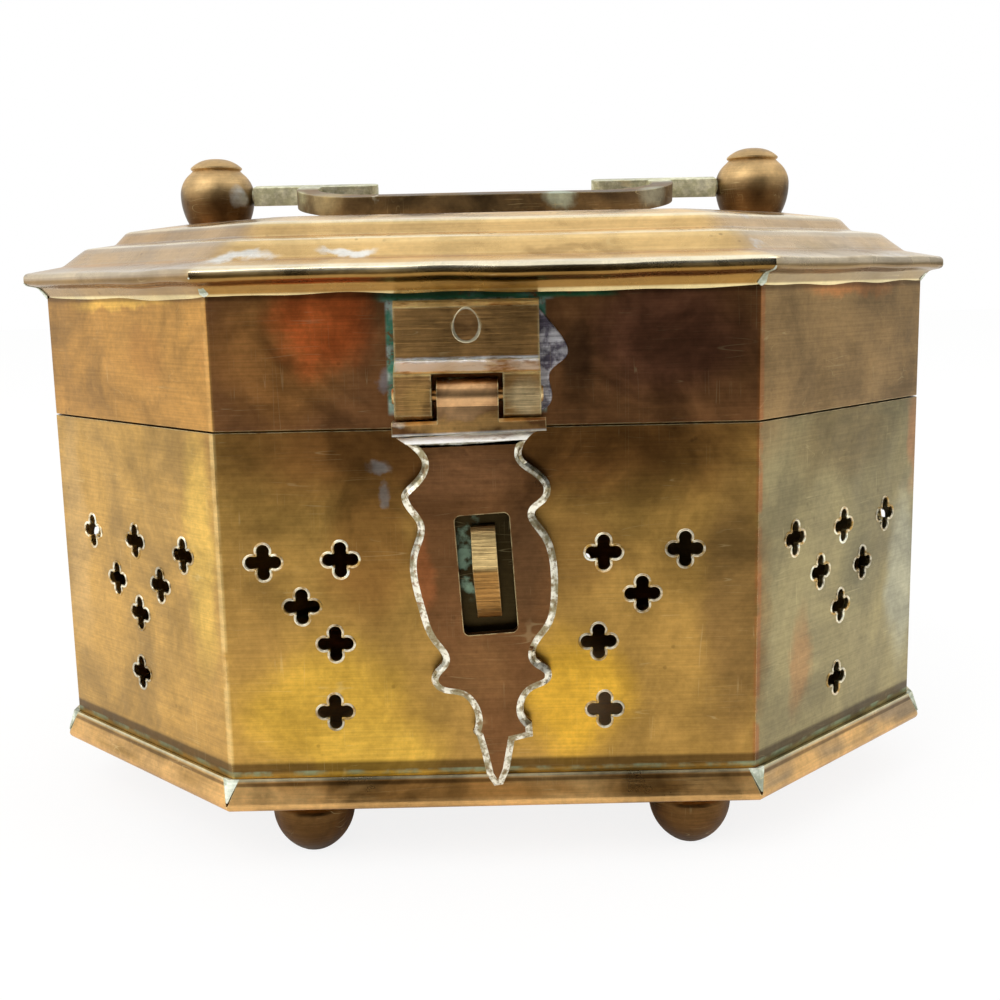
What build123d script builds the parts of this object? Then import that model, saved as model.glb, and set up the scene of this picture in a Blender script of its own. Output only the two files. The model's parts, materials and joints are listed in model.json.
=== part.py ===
from build123d import *
from math import asin, atan2, cos, degrees, hypot, radians, sin, sqrt, tan
import os

# An old sheet-brass trinket box on an elongated octagonal plan, in millimetres.
# X runs left to right, Y from the front to the rear and Z up from the feet.

# Plan and heights of the sheet-metal box
front_width = 85.0
end_depth = 31.4
chamfer_run = 36.3
wall_sheet = 0.9
foot_height = 11.0
body_height = 60.1
lid_height = 24.2
seam_gap = 0.25

# Base pan with its folded-up rim
rim_flare = 2.4
rim_height = 4.8
rim_roll = 1.2
rim_fit = 0.05

# Lid top: insets from the wall, and heights above or drops below the wall's top edge
top_sheet = 0.8
crown_inset = 22.4
crown_rise = 9.7
upper_step_inset = 13.0
upper_step_rise = 8.4
upper_notch_inset = 10.9
upper_notch_rise = 6.1
lower_step_inset = 5.9
lower_step_rise = 5.4
lower_notch_inset = 2.3
lower_notch_rise = 2.3
nose_out = 3.65
nose_drop = 0.8
nose_fold = 1.9
cove_out = 1.4
cove_drop = 1.3
cove_foot_drop = 3.3
cove_fit = 0.05
step_rolls = (4.0, 2.8, 0.8, 2.5, 1.2)
cove_roll = 1.2

# V notches at the folded corners, filled with solder: half widths at their open ends and points
rim_notch = 1.7
rim_web = 0.3
cove_notch = 1.1
notch_point = 0.12
wedge_lap = 0.5

# How far a cut runs past what it cuts, and the crown sheet under its rounded edge
cut_past = 2.0
crown_lap = 3.0

# Panel sizes that the pierced patterns and the hasp's outline are drawn for
drawn_front = 85.0
drawn_run = 36.3
drawn_end = 31.4
drawn_body = 60.1

# Pierced quatrefoils: places across each panel and depths below the seam, as drilled by hand
lobe_radius = 1.08
lobe_reach = 1.85
front_left_places = ((-33.0, 20.6), (-20.8, 20.4), (-27.2, 27.9), (-22.1, 34.1), (-22.6, 45.4))
front_right_places = ((33.7, 19.8), (20.8, 20.1), (26.9, 26.9), (19.9, 34.6), (20.8, 45.9))
left_upper_places = ((-15.0, 20.2), (-0.4, 20.3), (14.8, 20.8))
left_lower_places = ((-7.3, 27.9), (7.1, 27.0), (-0.2, 33.0), (-1.0, 43.8))
right_upper_places = ((-14.8, 20.1), (0.6, 20.2), (15.0, 20.2))
right_lower_places = ((-6.7, 27.1), (7.3, 27.9), (0.1, 34.3), (-0.7, 47.2))
end_places = ((-6.6, 17.9), (6.6, 17.9), (1.0, 24.8), (0.0, 43.2))

# Turned feet
foot_radius = 6.9
foot_shift = 1.2
foot_tread = 2.6
foot_bulge_z = 7.2
foot_neck_radius = 5.5
foot_neck_rise = 2.2
foot_low_share = 0.83
foot_low_height_share = 0.42
foot_high_bow = 0.35
foot_corner = 10.5
foot_inset = 9.2
foot_tenon_radius = 1.6
foot_peen_radius = 2.4
foot_peen_height = 0.8

# Turned handle posts and the flat handle between them
post_inset = 28.05
post_shift = 0.45
post_height = 12.3
post_radius = 6.85
post_base_radius = 5.4
post_low_bow = 0.35
post_high_bow = 0.55
cap_radius = 4.75
cap_height = 1.9
cap_rim = 0.25
cap_flat = 0.6
cap_dome_share = 0.62
cap_dome_drop = 0.45
groove_radius = 4.4
groove_height = 0.3
neck_radius = 4.9
neck_drop = 0.8
post_tenon_radius = 1.5
post_peen_radius = 2.6
post_peen_height = 0.8
pivot_height = 5.4
handle_thickness = 3.4
handle_reach = 20.6
arm_width = 3.5
arm_play = 0.2
arm_lap = 1.0
lobe_outside = 34.8
lobe_width = 4.2
lobe_bow = 0.9
lobe_crest = 6.0
bend_inset = 4.0
bend_depth = 4.5
inner_crest = 5.0
inner_bend_inset = 7.0
inner_bend_depth = 3.2
grip_bow = 0.2
cusp_across = 36.8
cusp_depth = 0.5
spur_across = 40.4
trunnion_radius = 1.2
trunnion_length = 4.2
trunnion_fit = 0.05
handle_rest_gap = 0.15
tenon_fit = 0.03

# Cast hasp, its leaf on the lid and its hinge
hasp_shift = -2.7
hasp_lean = 3.3
knuckle_out = 3.0
knuckle_radius = 2.7
knuckle_up = 5.5
knuckle_width = 9.3
knuckle_gap = 0.75
pin_radius = 1.0
pin_fit = 0.05
leaf_width = 22.2
leaf_sheet = 1.8
leaf_headroom = 1.1
leaf_edge = 1.0
block_radius = 3.7
block_face = 2.3
block_top = 3.5
block_slope = 1.7
neck_face = 2.2
notch_rise = 3.4
leaf_rivet_radius = 2.1
leaf_rivet_drop = 3.8
rivet_peen_lap = 0.7
rivet_peen_height = 0.7
pin_peen_lap = 0.4
pin_peen_height = 0.4
solder_drop = 1.4
solder_foot = -3.0
solder_run = ((2.0, -2.5), (4.2, -7.5), (1.6, -10.0), (1.9, -13.5))
solder_sheet = 0.8
block_gap = 0.2
plate_back = 1.5
plate_sheet = 1.7
plate_edge = 0.5
bar_half = 11.7
bar_lean = 1.2
bar_edge = 0.5
bar_top = 1.85
bar_foot = -0.25
bar_cove = 1.5
bar_cove_bow = 0.7
bar_lap = 0.3
bar_end = 0.4
slot_width = 8.5
slot_top = -13.1
slot_foot = -32.2
slot_shift = 0.6
slot_corner = 0.9

# Outline of the hasp's plate down each side to its point: across it and height from the seam
waist_left = ((-9.5, -1.9), (-7.9, -4.4), (-9.3, -7.0), (-11.5, -9.3), (-10.95, -11.4))
belly_left = (
    (-9.45, -14.2), (-10.7, -18.1), (-11.15, -22.9), (-10.3, -28.2), (-8.6, -33.3), (-7.35, -36.0),
)
ear_left = ((-8.8, -37.6), (-9.4, -39.3), (-8.0, -41.2), (-4.8, -42.2), (-3.3, -44.2), (-3.6, -48.2))
point_left = ((-3.0, -49.0), (-2.5, -51.5), (-1.9, -55.6), (-0.9, -57.5))
point_right = ((0.5, -57.4), (1.7, -55.0), (2.9, -50.2), (5.9, -49.7))
ear_right = ((5.9, -47.4), (4.75, -44.6), (6.4, -42.1), (9.3, -40.7), (9.5, -38.9), (7.3, -36.6))
belly_right = ((7.7, -34.8), (10.0, -31.9), (11.5, -26.8), (11.7, -21.8), (10.1, -16.2), (8.9, -13.4))
waist_right = ((10.4, -12.2), (11.6, -10.1), (9.7, -6.8), (7.5, -4.4), (8.2, -2.4))

# Staple bow through the front wall
staple_width = 3.9
staple_bar = 1.5
staple_out = 7.3
staple_root = 1.2
staple_top = -15.3
staple_peak = -21.2
staple_foot = -30.0
staple_leg_width = 3.0
staple_leg_bar = 1.1
staple_fit = 0.04
staple_peen_lap = 0.7
staple_peen_height = 0.8
staple_edge = 1.0

# Rear butt hinges
hinge_corner = 9.5
hinge_width = 16.0
hinge_knuckle = 6.0
hinge_gap = 0.3
hinge_out = 3.3
hinge_neck_face = 2.9
hinge_sheet = 1.6
hinge_height = 12.0
hinge_rivet_radius = 1.3
hinge_rivet_across = 9.0
hinge_rivet_height = 8.2

# Values that follow from the sizes above
half_width = front_width / 2 + chamfer_run
half_depth = end_depth / 2 + chamfer_run
floor_z = foot_height + wall_sheet
seam_z = floor_z + body_height
lid_edge_z = seam_z + lid_height
crown_z = lid_edge_z + crown_rise
mitre = tan(radians(22.5))
fold = top_sheet + 0.2
hinge_z = seam_z + seam_gap / 2
pivot_z = crown_z + pivot_height
foot_across = front_width - 2 * foot_corner
post_across = 2 * (half_width - post_inset)
hinge_across = front_width - 2 * hinge_corner
leaf_top = lid_height - cove_foot_drop - leaf_headroom - knuckle_up
leaf_rivet_rise = leaf_top - leaf_rivet_drop

os.makedirs("parts", exist_ok=True)


def save(part, name):
    part.label = name
    export_step(part, f"parts/{name}.step")


def octagon(out=0.0):
    """Plan corners, moved outward by out, from the middle of the front and round."""
    x = half_width + out
    y = half_depth + out
    run = chamfer_run + out * (1 - mitre)
    return [
        (0, -y), (x - run, -y), (x, run - y), (x, y - run), (x - run, y),
        (run - x, y), (-x, y - run), (-x, run - y), (run - x, -y),
    ]


def upright(x, y, z, toward):
    """Plane on a wall: local x across it seen from outside, local y up."""
    a = radians(toward)
    return Plane((x, y, z), x_dir=(-sin(a), cos(a), 0), z_dir=(cos(a), sin(a), 0))


def side_on(x, y, z):
    """Plane across a front or rear fitting: local x out to the front, local y up."""
    return Plane((x, y, z), x_dir=(0, -1, 0), z_dir=(-1, 0, 0))


def side_on_rear(x, y, z):
    """The same for the rear: local x out to the rear, local y up."""
    return Plane((x, y, z), x_dir=(0, 1, 0), z_dir=(1, 0, 0))


def corner_planes(z):
    """Upright planes at the eight corners, square to each corner's bisector."""
    corners = octagon()[1:]
    outer = octagon(1.0)[1:]
    planes = []
    for (x, y), (xo, yo) in zip(corners, outer):
        planes.append(upright(x, y, z, degrees(atan2(yo - y, xo - x))))
    return planes


def corner_wedges(z, foot, head, reach):
    """V prisms at the corners, foot and head being half widths at the two heights."""
    with BuildPart() as wedges:
        with BuildSketch(*corner_planes(z)):
            with BuildLine():
                Polyline((-foot[0], foot[1]), foot, head, (-head[0], head[1]), close=True)
            make_face()
        extrude(amount=reach)
    return wedges.part


def below_seam(height):
    """A drawn height counted from the seam, stretched to the body's height."""
    return height * body_height / drawn_body


def quatrefoils(plane, places):
    """Outlines of the quatrefoils at their places across one panel."""
    with BuildSketch(plane) as outlines:
        with Locations(*places):
            with PolarLocations(lobe_reach, 4):
                Circle(lobe_radius)
            Rectangle(2 * lobe_reach, 1.8 * lobe_radius)
            Rectangle(1.8 * lobe_radius, 2 * lobe_reach)
    return outlines.sketch


def places(spots, stretch, shift=0.0):
    """Places on a panel, their spread across it stretched with the panel."""
    return [(shift + across * stretch, -below_seam(depth)) for across, depth in spots]


# The hasp hangs a little askew from its hinge, and the staple stands in line with it
hasp_plane = Plane(
    (hasp_shift, -half_depth, seam_z + knuckle_up),
    x_dir=(cos(radians(hasp_lean)), 0, sin(radians(hasp_lean))),
    z_dir=(0, -1, 0),
)


def on_hasp(across, height):
    """Point on the hasp's own plane, height counted from the seam."""
    return (across, below_seam(height) - knuckle_up)


staple_plane = Plane(
    hasp_plane.from_local_coords((slot_shift, -knuckle_up, 0)),
    x_dir=hasp_plane.z_dir,
    z_dir=-hasp_plane.x_dir,
)
staple_legs = [
    (slot_shift, below_seam(staple_top) - staple_bar / 2 - knuckle_up),
    (slot_shift, below_seam(staple_foot) + staple_bar / 2 - knuckle_up),
]
front_face = upright(0, -half_depth, seam_z, -90)
rear_face = upright(0, half_depth, seam_z, 90)
rear_hinge_face = upright(0, half_depth, hinge_z, 90)
chamfer_x = half_width - chamfer_run / 2
chamfer_y = half_depth - chamfer_run / 2


def pierced_panels():
    """One sketch of quatrefoils for each of the eight panels."""
    front_stretch = front_width / drawn_front
    panels = []
    front_spots = front_left_places + front_right_places
    for face, shift in ((front_face, hasp_shift), (rear_face, 0.0)):
        panels.append(quatrefoils(face, places(front_spots, front_stretch, shift)))
    left_spots = left_upper_places + left_lower_places
    right_spots = right_upper_places + right_lower_places
    for sx, spots in ((-1, left_spots), (1, right_spots)):
        for sy in (-1, 1):
            chamfer_face = upright(sx * chamfer_x, sy * chamfer_y, seam_z, degrees(atan2(sy, sx)))
            panels.append(quatrefoils(chamfer_face, places(spots, chamfer_run / drawn_run)))
        end_face = upright(sx * half_width, 0, seam_z, 90 - 90 * sx)
        panels.append(quatrefoils(end_face, places(end_places, sx * end_depth / drawn_end)))
    return panels


# Body wall
with BuildPart() as body_wall:
    with BuildSketch(Plane.XY.offset(floor_z)):
        Polygon(*octagon(), align=None)
        Polygon(*octagon(-wall_sheet), align=None, mode=Mode.SUBTRACT)
    extrude(amount=body_height)
    for sheet_holes in pierced_panels():
        extrude(sheet_holes, amount=-3 * wall_sheet, mode=Mode.SUBTRACT)
    with BuildSketch(hasp_plane):
        with Locations(*staple_legs):
            Rectangle(staple_leg_width + 2 * staple_fit, staple_leg_bar + 2 * staple_fit)
    extrude(amount=-3 * wall_sheet, mode=Mode.SUBTRACT)
    with BuildSketch(rear_hinge_face):
        with Locations((0, -hinge_rivet_height)):
            with GridLocations(hinge_across, 0, 2, 1):
                with GridLocations(hinge_rivet_across, 0, 2, 1):
                    Circle(hinge_rivet_radius + tenon_fit)
    extrude(amount=-3 * wall_sheet, mode=Mode.SUBTRACT)
save(body_wall.part, "body_wall")


def rim_ring():
    """The pan's rim, flared at the bottom and leaning in to the wall at its top."""
    lean = rim_fit + wall_sheet
    with BuildPart() as ring:
        with BuildLine() as path:
            Polyline(*[(x, y, foot_height) for x, y in octagon()], close=True)
        with BuildSketch(side_on(0, -half_depth, foot_height)):
            with BuildLine():
                FilletPolyline((-3, 0), (rim_flare, 0), (lean, rim_height), radius=rim_roll)
                offset(amount=wall_sheet, side=Side.LEFT)
            make_face()
        sweep(path=path.line, transition=Transition.RIGHT)
    return ring.part


# Base pan
rim_wedge_foot = (notch_point, wall_sheet + rim_web)
rim_wedge_head = (rim_notch, rim_height + wedge_lap)
rim_wedges = corner_wedges(foot_height, rim_wedge_foot, rim_wedge_head, rim_flare + cut_past)
foot_spots = [
    (foot_shift + sx * foot_across / 2, sy * (half_depth - foot_inset))
    for sy in (-1, 1)
    for sx in (-1, 1)
]
with BuildPart() as base_pan:
    add(rim_ring())
    with BuildSketch(Plane.XY.offset(foot_height)):
        Polygon(*octagon(-2), align=None)
    extrude(amount=wall_sheet)
    add(rim_wedges, mode=Mode.SUBTRACT)
    with BuildSketch(Plane.XY.offset(foot_height)):
        with Locations(*foot_spots):
            Circle(foot_tenon_radius + tenon_fit)
    extrude(amount=wall_sheet, mode=Mode.SUBTRACT)
save(base_pan.part, "base_pan")

with BuildPart() as base_corner_solder:
    add(rim_ring())
    add(rim_wedges, mode=Mode.INTERSECT)
save(base_corner_solder.part, "base_corner_solder")

# Turned feet, each with a tenon through the pan that is peened over inside
foot_names = ("foot_front_left", "foot_front_right", "foot_rear_left", "foot_rear_right")
for (x, y), name in zip(foot_spots, foot_names):
    with BuildPart() as foot:
        with BuildSketch(side_on(x, y, 0)):
            with BuildLine():
                Line((0, 0), (foot_tread, 0))
                ThreePointArc(
                    (foot_tread, 0),
                    (foot_radius * foot_low_share, foot_bulge_z * foot_low_height_share),
                    (foot_radius, foot_bulge_z),
                )
                ThreePointArc(
                    (foot_radius, foot_bulge_z),
                    (foot_radius - foot_high_bow, foot_bulge_z + 0.6 * foot_neck_rise),
                    (foot_neck_radius, foot_bulge_z + foot_neck_rise),
                )
                Polyline(
                    (foot_neck_radius, foot_bulge_z + foot_neck_rise),
                    (foot_neck_radius, foot_height),
                    (foot_tenon_radius, foot_height),
                    (foot_tenon_radius, floor_z),
                    (foot_peen_radius, floor_z),
                    (foot_tenon_radius, floor_z + foot_peen_height),
                    (0, floor_z + foot_peen_height),
                    (0, 0),
                )
            make_face()
        revolve(axis=Axis((x, y, 0), (0, 0, 1)))
    save(foot.part, name)

# Staple: a peaked bow, its legs through the wall and peened over behind it
with BuildPart() as staple:
    with BuildSketch(staple_plane) as bow:
        with BuildLine():
            Polyline(
                (0, below_seam(staple_top)),
                (staple_root, below_seam(staple_top)),
                (staple_out, below_seam(staple_peak)),
                (staple_root, below_seam(staple_foot)),
                (0, below_seam(staple_foot)),
            )
            offset(amount=staple_bar, side=Side.RIGHT)
        make_face()
        fillet(bow.vertices().group_by(Axis.X)[-1], staple_edge)
    extrude(amount=staple_width / 2, both=True)
    with BuildSketch(hasp_plane):
        with Locations(*staple_legs):
            Rectangle(staple_leg_width, staple_leg_bar)
    extrude(amount=-wall_sheet)
    with BuildSketch(hasp_plane.offset(-wall_sheet)):
        with Locations(*staple_legs):
            Rectangle(staple_leg_width + 2 * staple_peen_lap, staple_leg_bar + 2 * staple_peen_lap)
    extrude(amount=-staple_peen_height)
save(staple.part, "staple")

# Lid wall
with BuildPart() as lid_wall:
    with BuildSketch(Plane.XY.offset(seam_z + seam_gap)):
        Polygon(*octagon(), align=None)
        Polygon(*octagon(-wall_sheet), align=None, mode=Mode.SUBTRACT)
    extrude(amount=lid_height - seam_gap)
    with BuildSketch(upright(hasp_shift, -half_depth, seam_z + knuckle_up, -90)):
        with Locations((0, leaf_rivet_rise)):
            Circle(leaf_rivet_radius + tenon_fit)
    extrude(amount=-3 * wall_sheet, mode=Mode.SUBTRACT)
    with BuildSketch(rear_hinge_face):
        with Locations((0, hinge_rivet_height)):
            with GridLocations(hinge_across, 0, 2, 1):
                with GridLocations(hinge_rivet_across, 0, 2, 1):
                    Circle(hinge_rivet_radius + tenon_fit)
    extrude(amount=-3 * wall_sheet, mode=Mode.SUBTRACT)
save(lid_wall.part, "lid_wall")


def top_ring():
    """The lid top's pressed steps, cornice and cove, swept round the plan."""
    with BuildPart() as ring:
        with BuildLine() as path:
            Polyline(*[(x, y, seam_z) for x, y in octagon()], close=True)
        with BuildSketch(side_on(0, -half_depth, lid_edge_z)):
            with BuildLine():
                FilletPolyline(
                    (-crown_inset - crown_lap, crown_rise),
                    (-crown_inset, crown_rise),
                    (-upper_step_inset, upper_step_rise),
                    (-upper_notch_inset, upper_notch_rise),
                    (-lower_step_inset, lower_step_rise),
                    (-lower_notch_inset, lower_notch_rise),
                    (nose_out, nose_fold - nose_drop),
                    (nose_out, -nose_drop),
                    (cove_out, -cove_drop),
                    (cove_fit, -cove_foot_drop),
                    radius=(*step_rolls, fold, fold, cove_roll),
                )
                offset(amount=top_sheet, side=Side.RIGHT)
            make_face()
        sweep(path=path.line, transition=Transition.RIGHT)
        with BuildSketch(Plane.XY.offset(seam_z)):
            Polygon(*octagon(cove_fit), align=None)
        extrude(amount=lid_height + cove_fit, mode=Mode.SUBTRACT)
    return ring.part


# Lid top, with holes for the posts' tenons
cove_wedge_foot = (cove_notch, -cove_foot_drop - wedge_lap)
cove_wedge_head = (notch_point, wedge_lap - nose_drop)
cove_wedges = corner_wedges(lid_edge_z, cove_wedge_foot, cove_wedge_head, nose_out + cut_past)
post_spots = [(post_shift - post_across / 2, 0), (post_shift + post_across / 2, 0)]
with BuildPart() as lid_top:
    add(top_ring())
    with BuildSketch(Plane.XY.offset(crown_z - top_sheet)):
        Polygon(*octagon(-crown_inset - crown_lap / 3), align=None)
    extrude(amount=top_sheet)
    add(cove_wedges, mode=Mode.SUBTRACT)
    with BuildSketch(Plane.XY.offset(crown_z)):
        with Locations(*post_spots):
            Circle(post_tenon_radius + tenon_fit)
    extrude(amount=-2 * top_sheet, mode=Mode.SUBTRACT)
save(lid_top.part, "lid_top")

with BuildPart() as lid_corner_solder:
    add(top_ring())
    add(cove_wedges, mode=Mode.INTERSECT)
save(lid_corner_solder.part, "lid_corner_solder")

# Turned posts, each bored on its inner side for the handle
for (x, y), name in zip(post_spots, ("handle_post_left", "handle_post_right")):
    side = 1 if x > 0 else -1
    bore = Plane((x - side * (post_radius - trunnion_length - arm_play), 0, pivot_z), z_dir=(-side, 0, 0))
    with BuildPart() as post:
        with BuildSketch(side_on(x, y, crown_z)):
            with BuildLine():
                cap_foot = post_height - cap_height
                widest = (post_radius, pivot_height)
                neck = (neck_radius, cap_foot - neck_drop)
                rim = (cap_radius, cap_foot + cap_rim)
                ThreePointArc(
                    (post_base_radius, 0),
                    (post_radius - post_low_bow, pivot_height / 2),
                    widest,
                )
                ThreePointArc(widest, (post_radius - post_high_bow, (pivot_height + cap_foot) / 2), neck)
                Polyline(neck, (groove_radius, cap_foot - groove_height), (cap_radius, cap_foot), rim)
                dome = (cap_radius * cap_dome_share, post_height - cap_dome_drop)
                ThreePointArc(rim, dome, (cap_flat, post_height))
                Polyline(
                    (cap_flat, post_height),
                    (0, post_height),
                    (0, -top_sheet - post_peen_height),
                    (post_tenon_radius, -top_sheet - post_peen_height),
                    (post_peen_radius, -top_sheet),
                    (post_tenon_radius, -top_sheet),
                    (post_tenon_radius, 0),
                    (post_base_radius, 0),
                )
            make_face()
        revolve(axis=Axis((x, y, crown_z), (0, 0, 1)))
        with BuildSketch(bore):
            Circle(trunnion_radius + trunnion_fit)
        extrude(amount=post_radius + 2, mode=Mode.SUBTRACT)
    save(post.part, name)

# Handle: flat arms and spurs on the pivot line, two lobes and a grip in front of them
rest_reach = hypot(handle_reach, handle_thickness / 2)
rest_drop = pivot_height - handle_rest_gap
handle_tilt = degrees(asin(rest_drop / rest_reach) - atan2(handle_thickness / 2, handle_reach))
handle_plane = Plane(
    (post_shift, 0, pivot_z),
    x_dir=(1, 0, 0),
    z_dir=(0, -sin(radians(handle_tilt)), cos(radians(handle_tilt))),
)
arm_end = post_across / 2 - post_radius - arm_play
with BuildPart() as handle:
    with BuildSketch(handle_plane):
        with BuildLine():
            grip_front = -handle_reach
            grip_back = grip_front + lobe_width
            arm_edge = arm_width / 2
            cusp = cusp_across / 2
            spur = spur_across / 2
            lobe_inside = lobe_outside - lobe_width
            outer_cusp = (cusp, grip_front + cusp_depth)
            outer_bend = (lobe_outside - bend_inset, grip_front + bend_depth)
            inner_bend = (lobe_outside - inner_bend_inset, grip_back + inner_bend_depth)
            inner_cusp = (cusp, grip_back - cusp_depth)
            ThreePointArc((0, grip_front + grip_bow), (cusp / 2, grip_front + 1.5 * grip_bow), outer_cusp)
            ThreePointArc(outer_cusp, (cusp + lobe_crest, grip_front), outer_bend)
            ThreePointArc(outer_bend, (lobe_outside - lobe_bow, grip_front / 2), (lobe_outside, -arm_edge))
            Polyline(
                (lobe_outside, -arm_edge),
                (arm_end, -arm_edge),
                (arm_end, arm_edge),
                (spur + arm_edge, arm_edge),
            )
            ThreePointArc((spur + arm_edge, arm_edge), (spur, 0), (spur + arm_edge, -arm_edge))
            Line((spur + arm_edge, -arm_edge), (lobe_inside, -arm_edge))
            ThreePointArc((lobe_inside, -arm_edge), (lobe_inside - lobe_bow, grip_front / 2), inner_bend)
            ThreePointArc(inner_bend, (cusp + inner_crest, grip_back + grip_bow), inner_cusp)
            ThreePointArc(inner_cusp, (cusp / 2, grip_back - grip_bow), (0, grip_back))
            Line((0, grip_back), (0, grip_front + grip_bow))
        make_face()
        mirror(about=Plane.YZ)
    extrude(amount=handle_thickness / 2, both=True)
    for side in (-1, 1):
        with BuildSketch(Plane((post_shift + side * (arm_end - arm_lap), 0, pivot_z), z_dir=(side, 0, 0))):
            Circle(trunnion_radius)
        extrude(amount=arm_lap + arm_play + trunnion_length)
save(handle.part, "handle")


def barrel_arc(radius, face):
    """Arc of a block's underside about the hinge axis, from below it to the front face."""
    half = asin(face / radius) / 2
    return ThreePointArc(
        (0, -radius),
        (radius * sin(half), -radius * cos(half)),
        (face, -radius * cos(2 * half)),
    )


# Leaf of the hasp's hinge: a plate riveted to the lid, with a block at each side of its notch
leaf_axis = side_on(hasp_shift, -half_depth - knuckle_out, seam_z + knuckle_up)
with BuildPart() as hasp_leaf:
    with BuildSketch(leaf_axis) as leaf_side:
        with BuildLine():
            leaf_back = -knuckle_out
            leaf_face = leaf_back + leaf_sheet
            Line((leaf_back, -block_radius), (0, -block_radius))
            barrel_arc(block_radius, block_face)
            Polyline(
                (block_face, -sqrt(block_radius ** 2 - block_face ** 2)),
                (block_face, block_top),
                (leaf_face, block_top + block_slope),
                (leaf_face, leaf_top - leaf_edge),
                (leaf_face - leaf_edge, leaf_top),
                (leaf_back, leaf_top),
                (leaf_back, -block_radius),
            )
        make_face()
    extrude(amount=leaf_width / 2, both=True)
    with BuildSketch(leaf_axis):
        with Locations((0, notch_rise - block_radius - 1)):
            Rectangle(4 * block_radius, 2 * block_radius + 2)
    extrude(amount=knuckle_width / 2 + knuckle_gap, both=True, mode=Mode.SUBTRACT)
    with BuildSketch(leaf_axis):
        Circle(pin_radius + pin_fit)
    extrude(amount=leaf_width / 2, both=True, mode=Mode.SUBTRACT)
    with BuildSketch(upright(hasp_shift, -half_depth, seam_z + knuckle_up, -90)):
        with Locations((0, leaf_rivet_rise)):
            Circle(leaf_rivet_radius + tenon_fit)
    extrude(amount=leaf_sheet, mode=Mode.SUBTRACT)
save(hasp_leaf.part, "hasp_leaf")


def rivets(plane, spots, radius, leaf_sheet):
    """Rivets filed flush with the leaf and peened over inside the sheet."""
    with BuildPart() as shanks:
        with BuildSketch(plane.offset(-wall_sheet)):
            with Locations(*spots):
                Circle(radius)
        extrude(amount=wall_sheet + leaf_sheet)
        with BuildSketch(plane.offset(-wall_sheet)):
            with Locations(*spots):
                Circle(radius + rivet_peen_lap)
        extrude(amount=-rivet_peen_height, taper=30)
    return shanks.part


def pin(plane, length):
    """Hinge pin along the plane's normal, a little domed past both ends of its barrel."""
    with BuildPart() as rod:
        with BuildSketch(plane):
            Circle(pin_radius)
        extrude(amount=length / 2, both=True)
        for end in (1, -1):
            with BuildSketch(plane.offset(end * length / 2)):
                Circle(pin_radius + pin_peen_lap)
            extrude(amount=end * pin_peen_height, taper=35)
    return rod.part


leaf_wall = upright(hasp_shift, -half_depth, seam_z + knuckle_up, -90)
save(rivets(leaf_wall, [(0, leaf_rivet_rise)], leaf_rivet_radius, leaf_sheet), "hasp_rivet")
save(pin(leaf_axis, leaf_width), "hasp_pin")

# Run of solder down the leaf's right edge
with BuildPart() as leaf_solder:
    with BuildSketch(leaf_wall):
        with BuildLine():
            leaf_side_x = leaf_width / 2
            run_top = (leaf_side_x, leaf_top - solder_drop)
            run_foot = (leaf_side_x, solder_foot)
            Spline(run_top, *[(leaf_side_x + x, run_top[1] + y) for x, y in solder_run], run_foot)
            Line(run_foot, run_top)
        make_face()
    extrude(amount=solder_sheet)
    outer_edges = leaf_solder.edges().group_by(Axis.Y)[0]
    fillet(outer_edges.filter_by(GeomType.LINE, reverse=True), solder_sheet / 2)
save(leaf_solder.part, "leaf_solder")


def hasp_outline():
    """Closed outline of the plate on its own plane, from the bar down to the point and up again."""
    bar_half_end = bar_half - bar_end
    left = [on_hasp(*p) for p in ((-bar_half_end, bar_foot),) + waist_left + belly_left + ear_left]
    right = [on_hasp(*p) for p in ear_right + belly_right + waist_right + ((bar_half_end, bar_foot),)]
    point = [on_hasp(*p) for p in point_left + point_right]
    with BuildSketch(hasp_plane.offset(plate_back)) as outline:
        with BuildLine():
            Spline(*left)
            Polyline(left[-1], *point, right[0])
            Spline(*right)
            Line(right[-1], left[0])
        make_face()
    return outline.sketch


# Hasp: one knuckle and neck on the pin, a shoulder bar, and the scalloped plate with its slot
bar_face = knuckle_out + neck_face
plate_face = plate_back + plate_sheet
bar_plane = Plane(
    hasp_plane.origin,
    x_dir=hasp_plane.z_dir,
    z_dir=(-cos(radians(bar_lean)), 0, -sin(radians(bar_lean))),
)
with BuildPart() as under_bar:
    with BuildSketch(bar_plane):
        with BuildLine():
            cove_top = bar_foot + bar_lap - knuckle_up
            cove_foot = bar_foot - bar_cove - knuckle_up
            Polyline(
                (plate_face, cove_foot),
                (plate_back, cove_foot),
                (plate_back, cove_top),
                (bar_face, cove_top),
            )
            Line((bar_face, cove_top), (bar_face, cove_top - bar_lap))
            ThreePointArc(
                (bar_face, cove_top - bar_lap),
                (plate_face + bar_cove_bow, cove_foot + 0.6 * bar_cove),
                (plate_face, cove_foot),
            )
        make_face()
    extrude(amount=bar_half, both=True)
    extrude(hasp_outline(), amount=bar_face, mode=Mode.INTERSECT)
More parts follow.
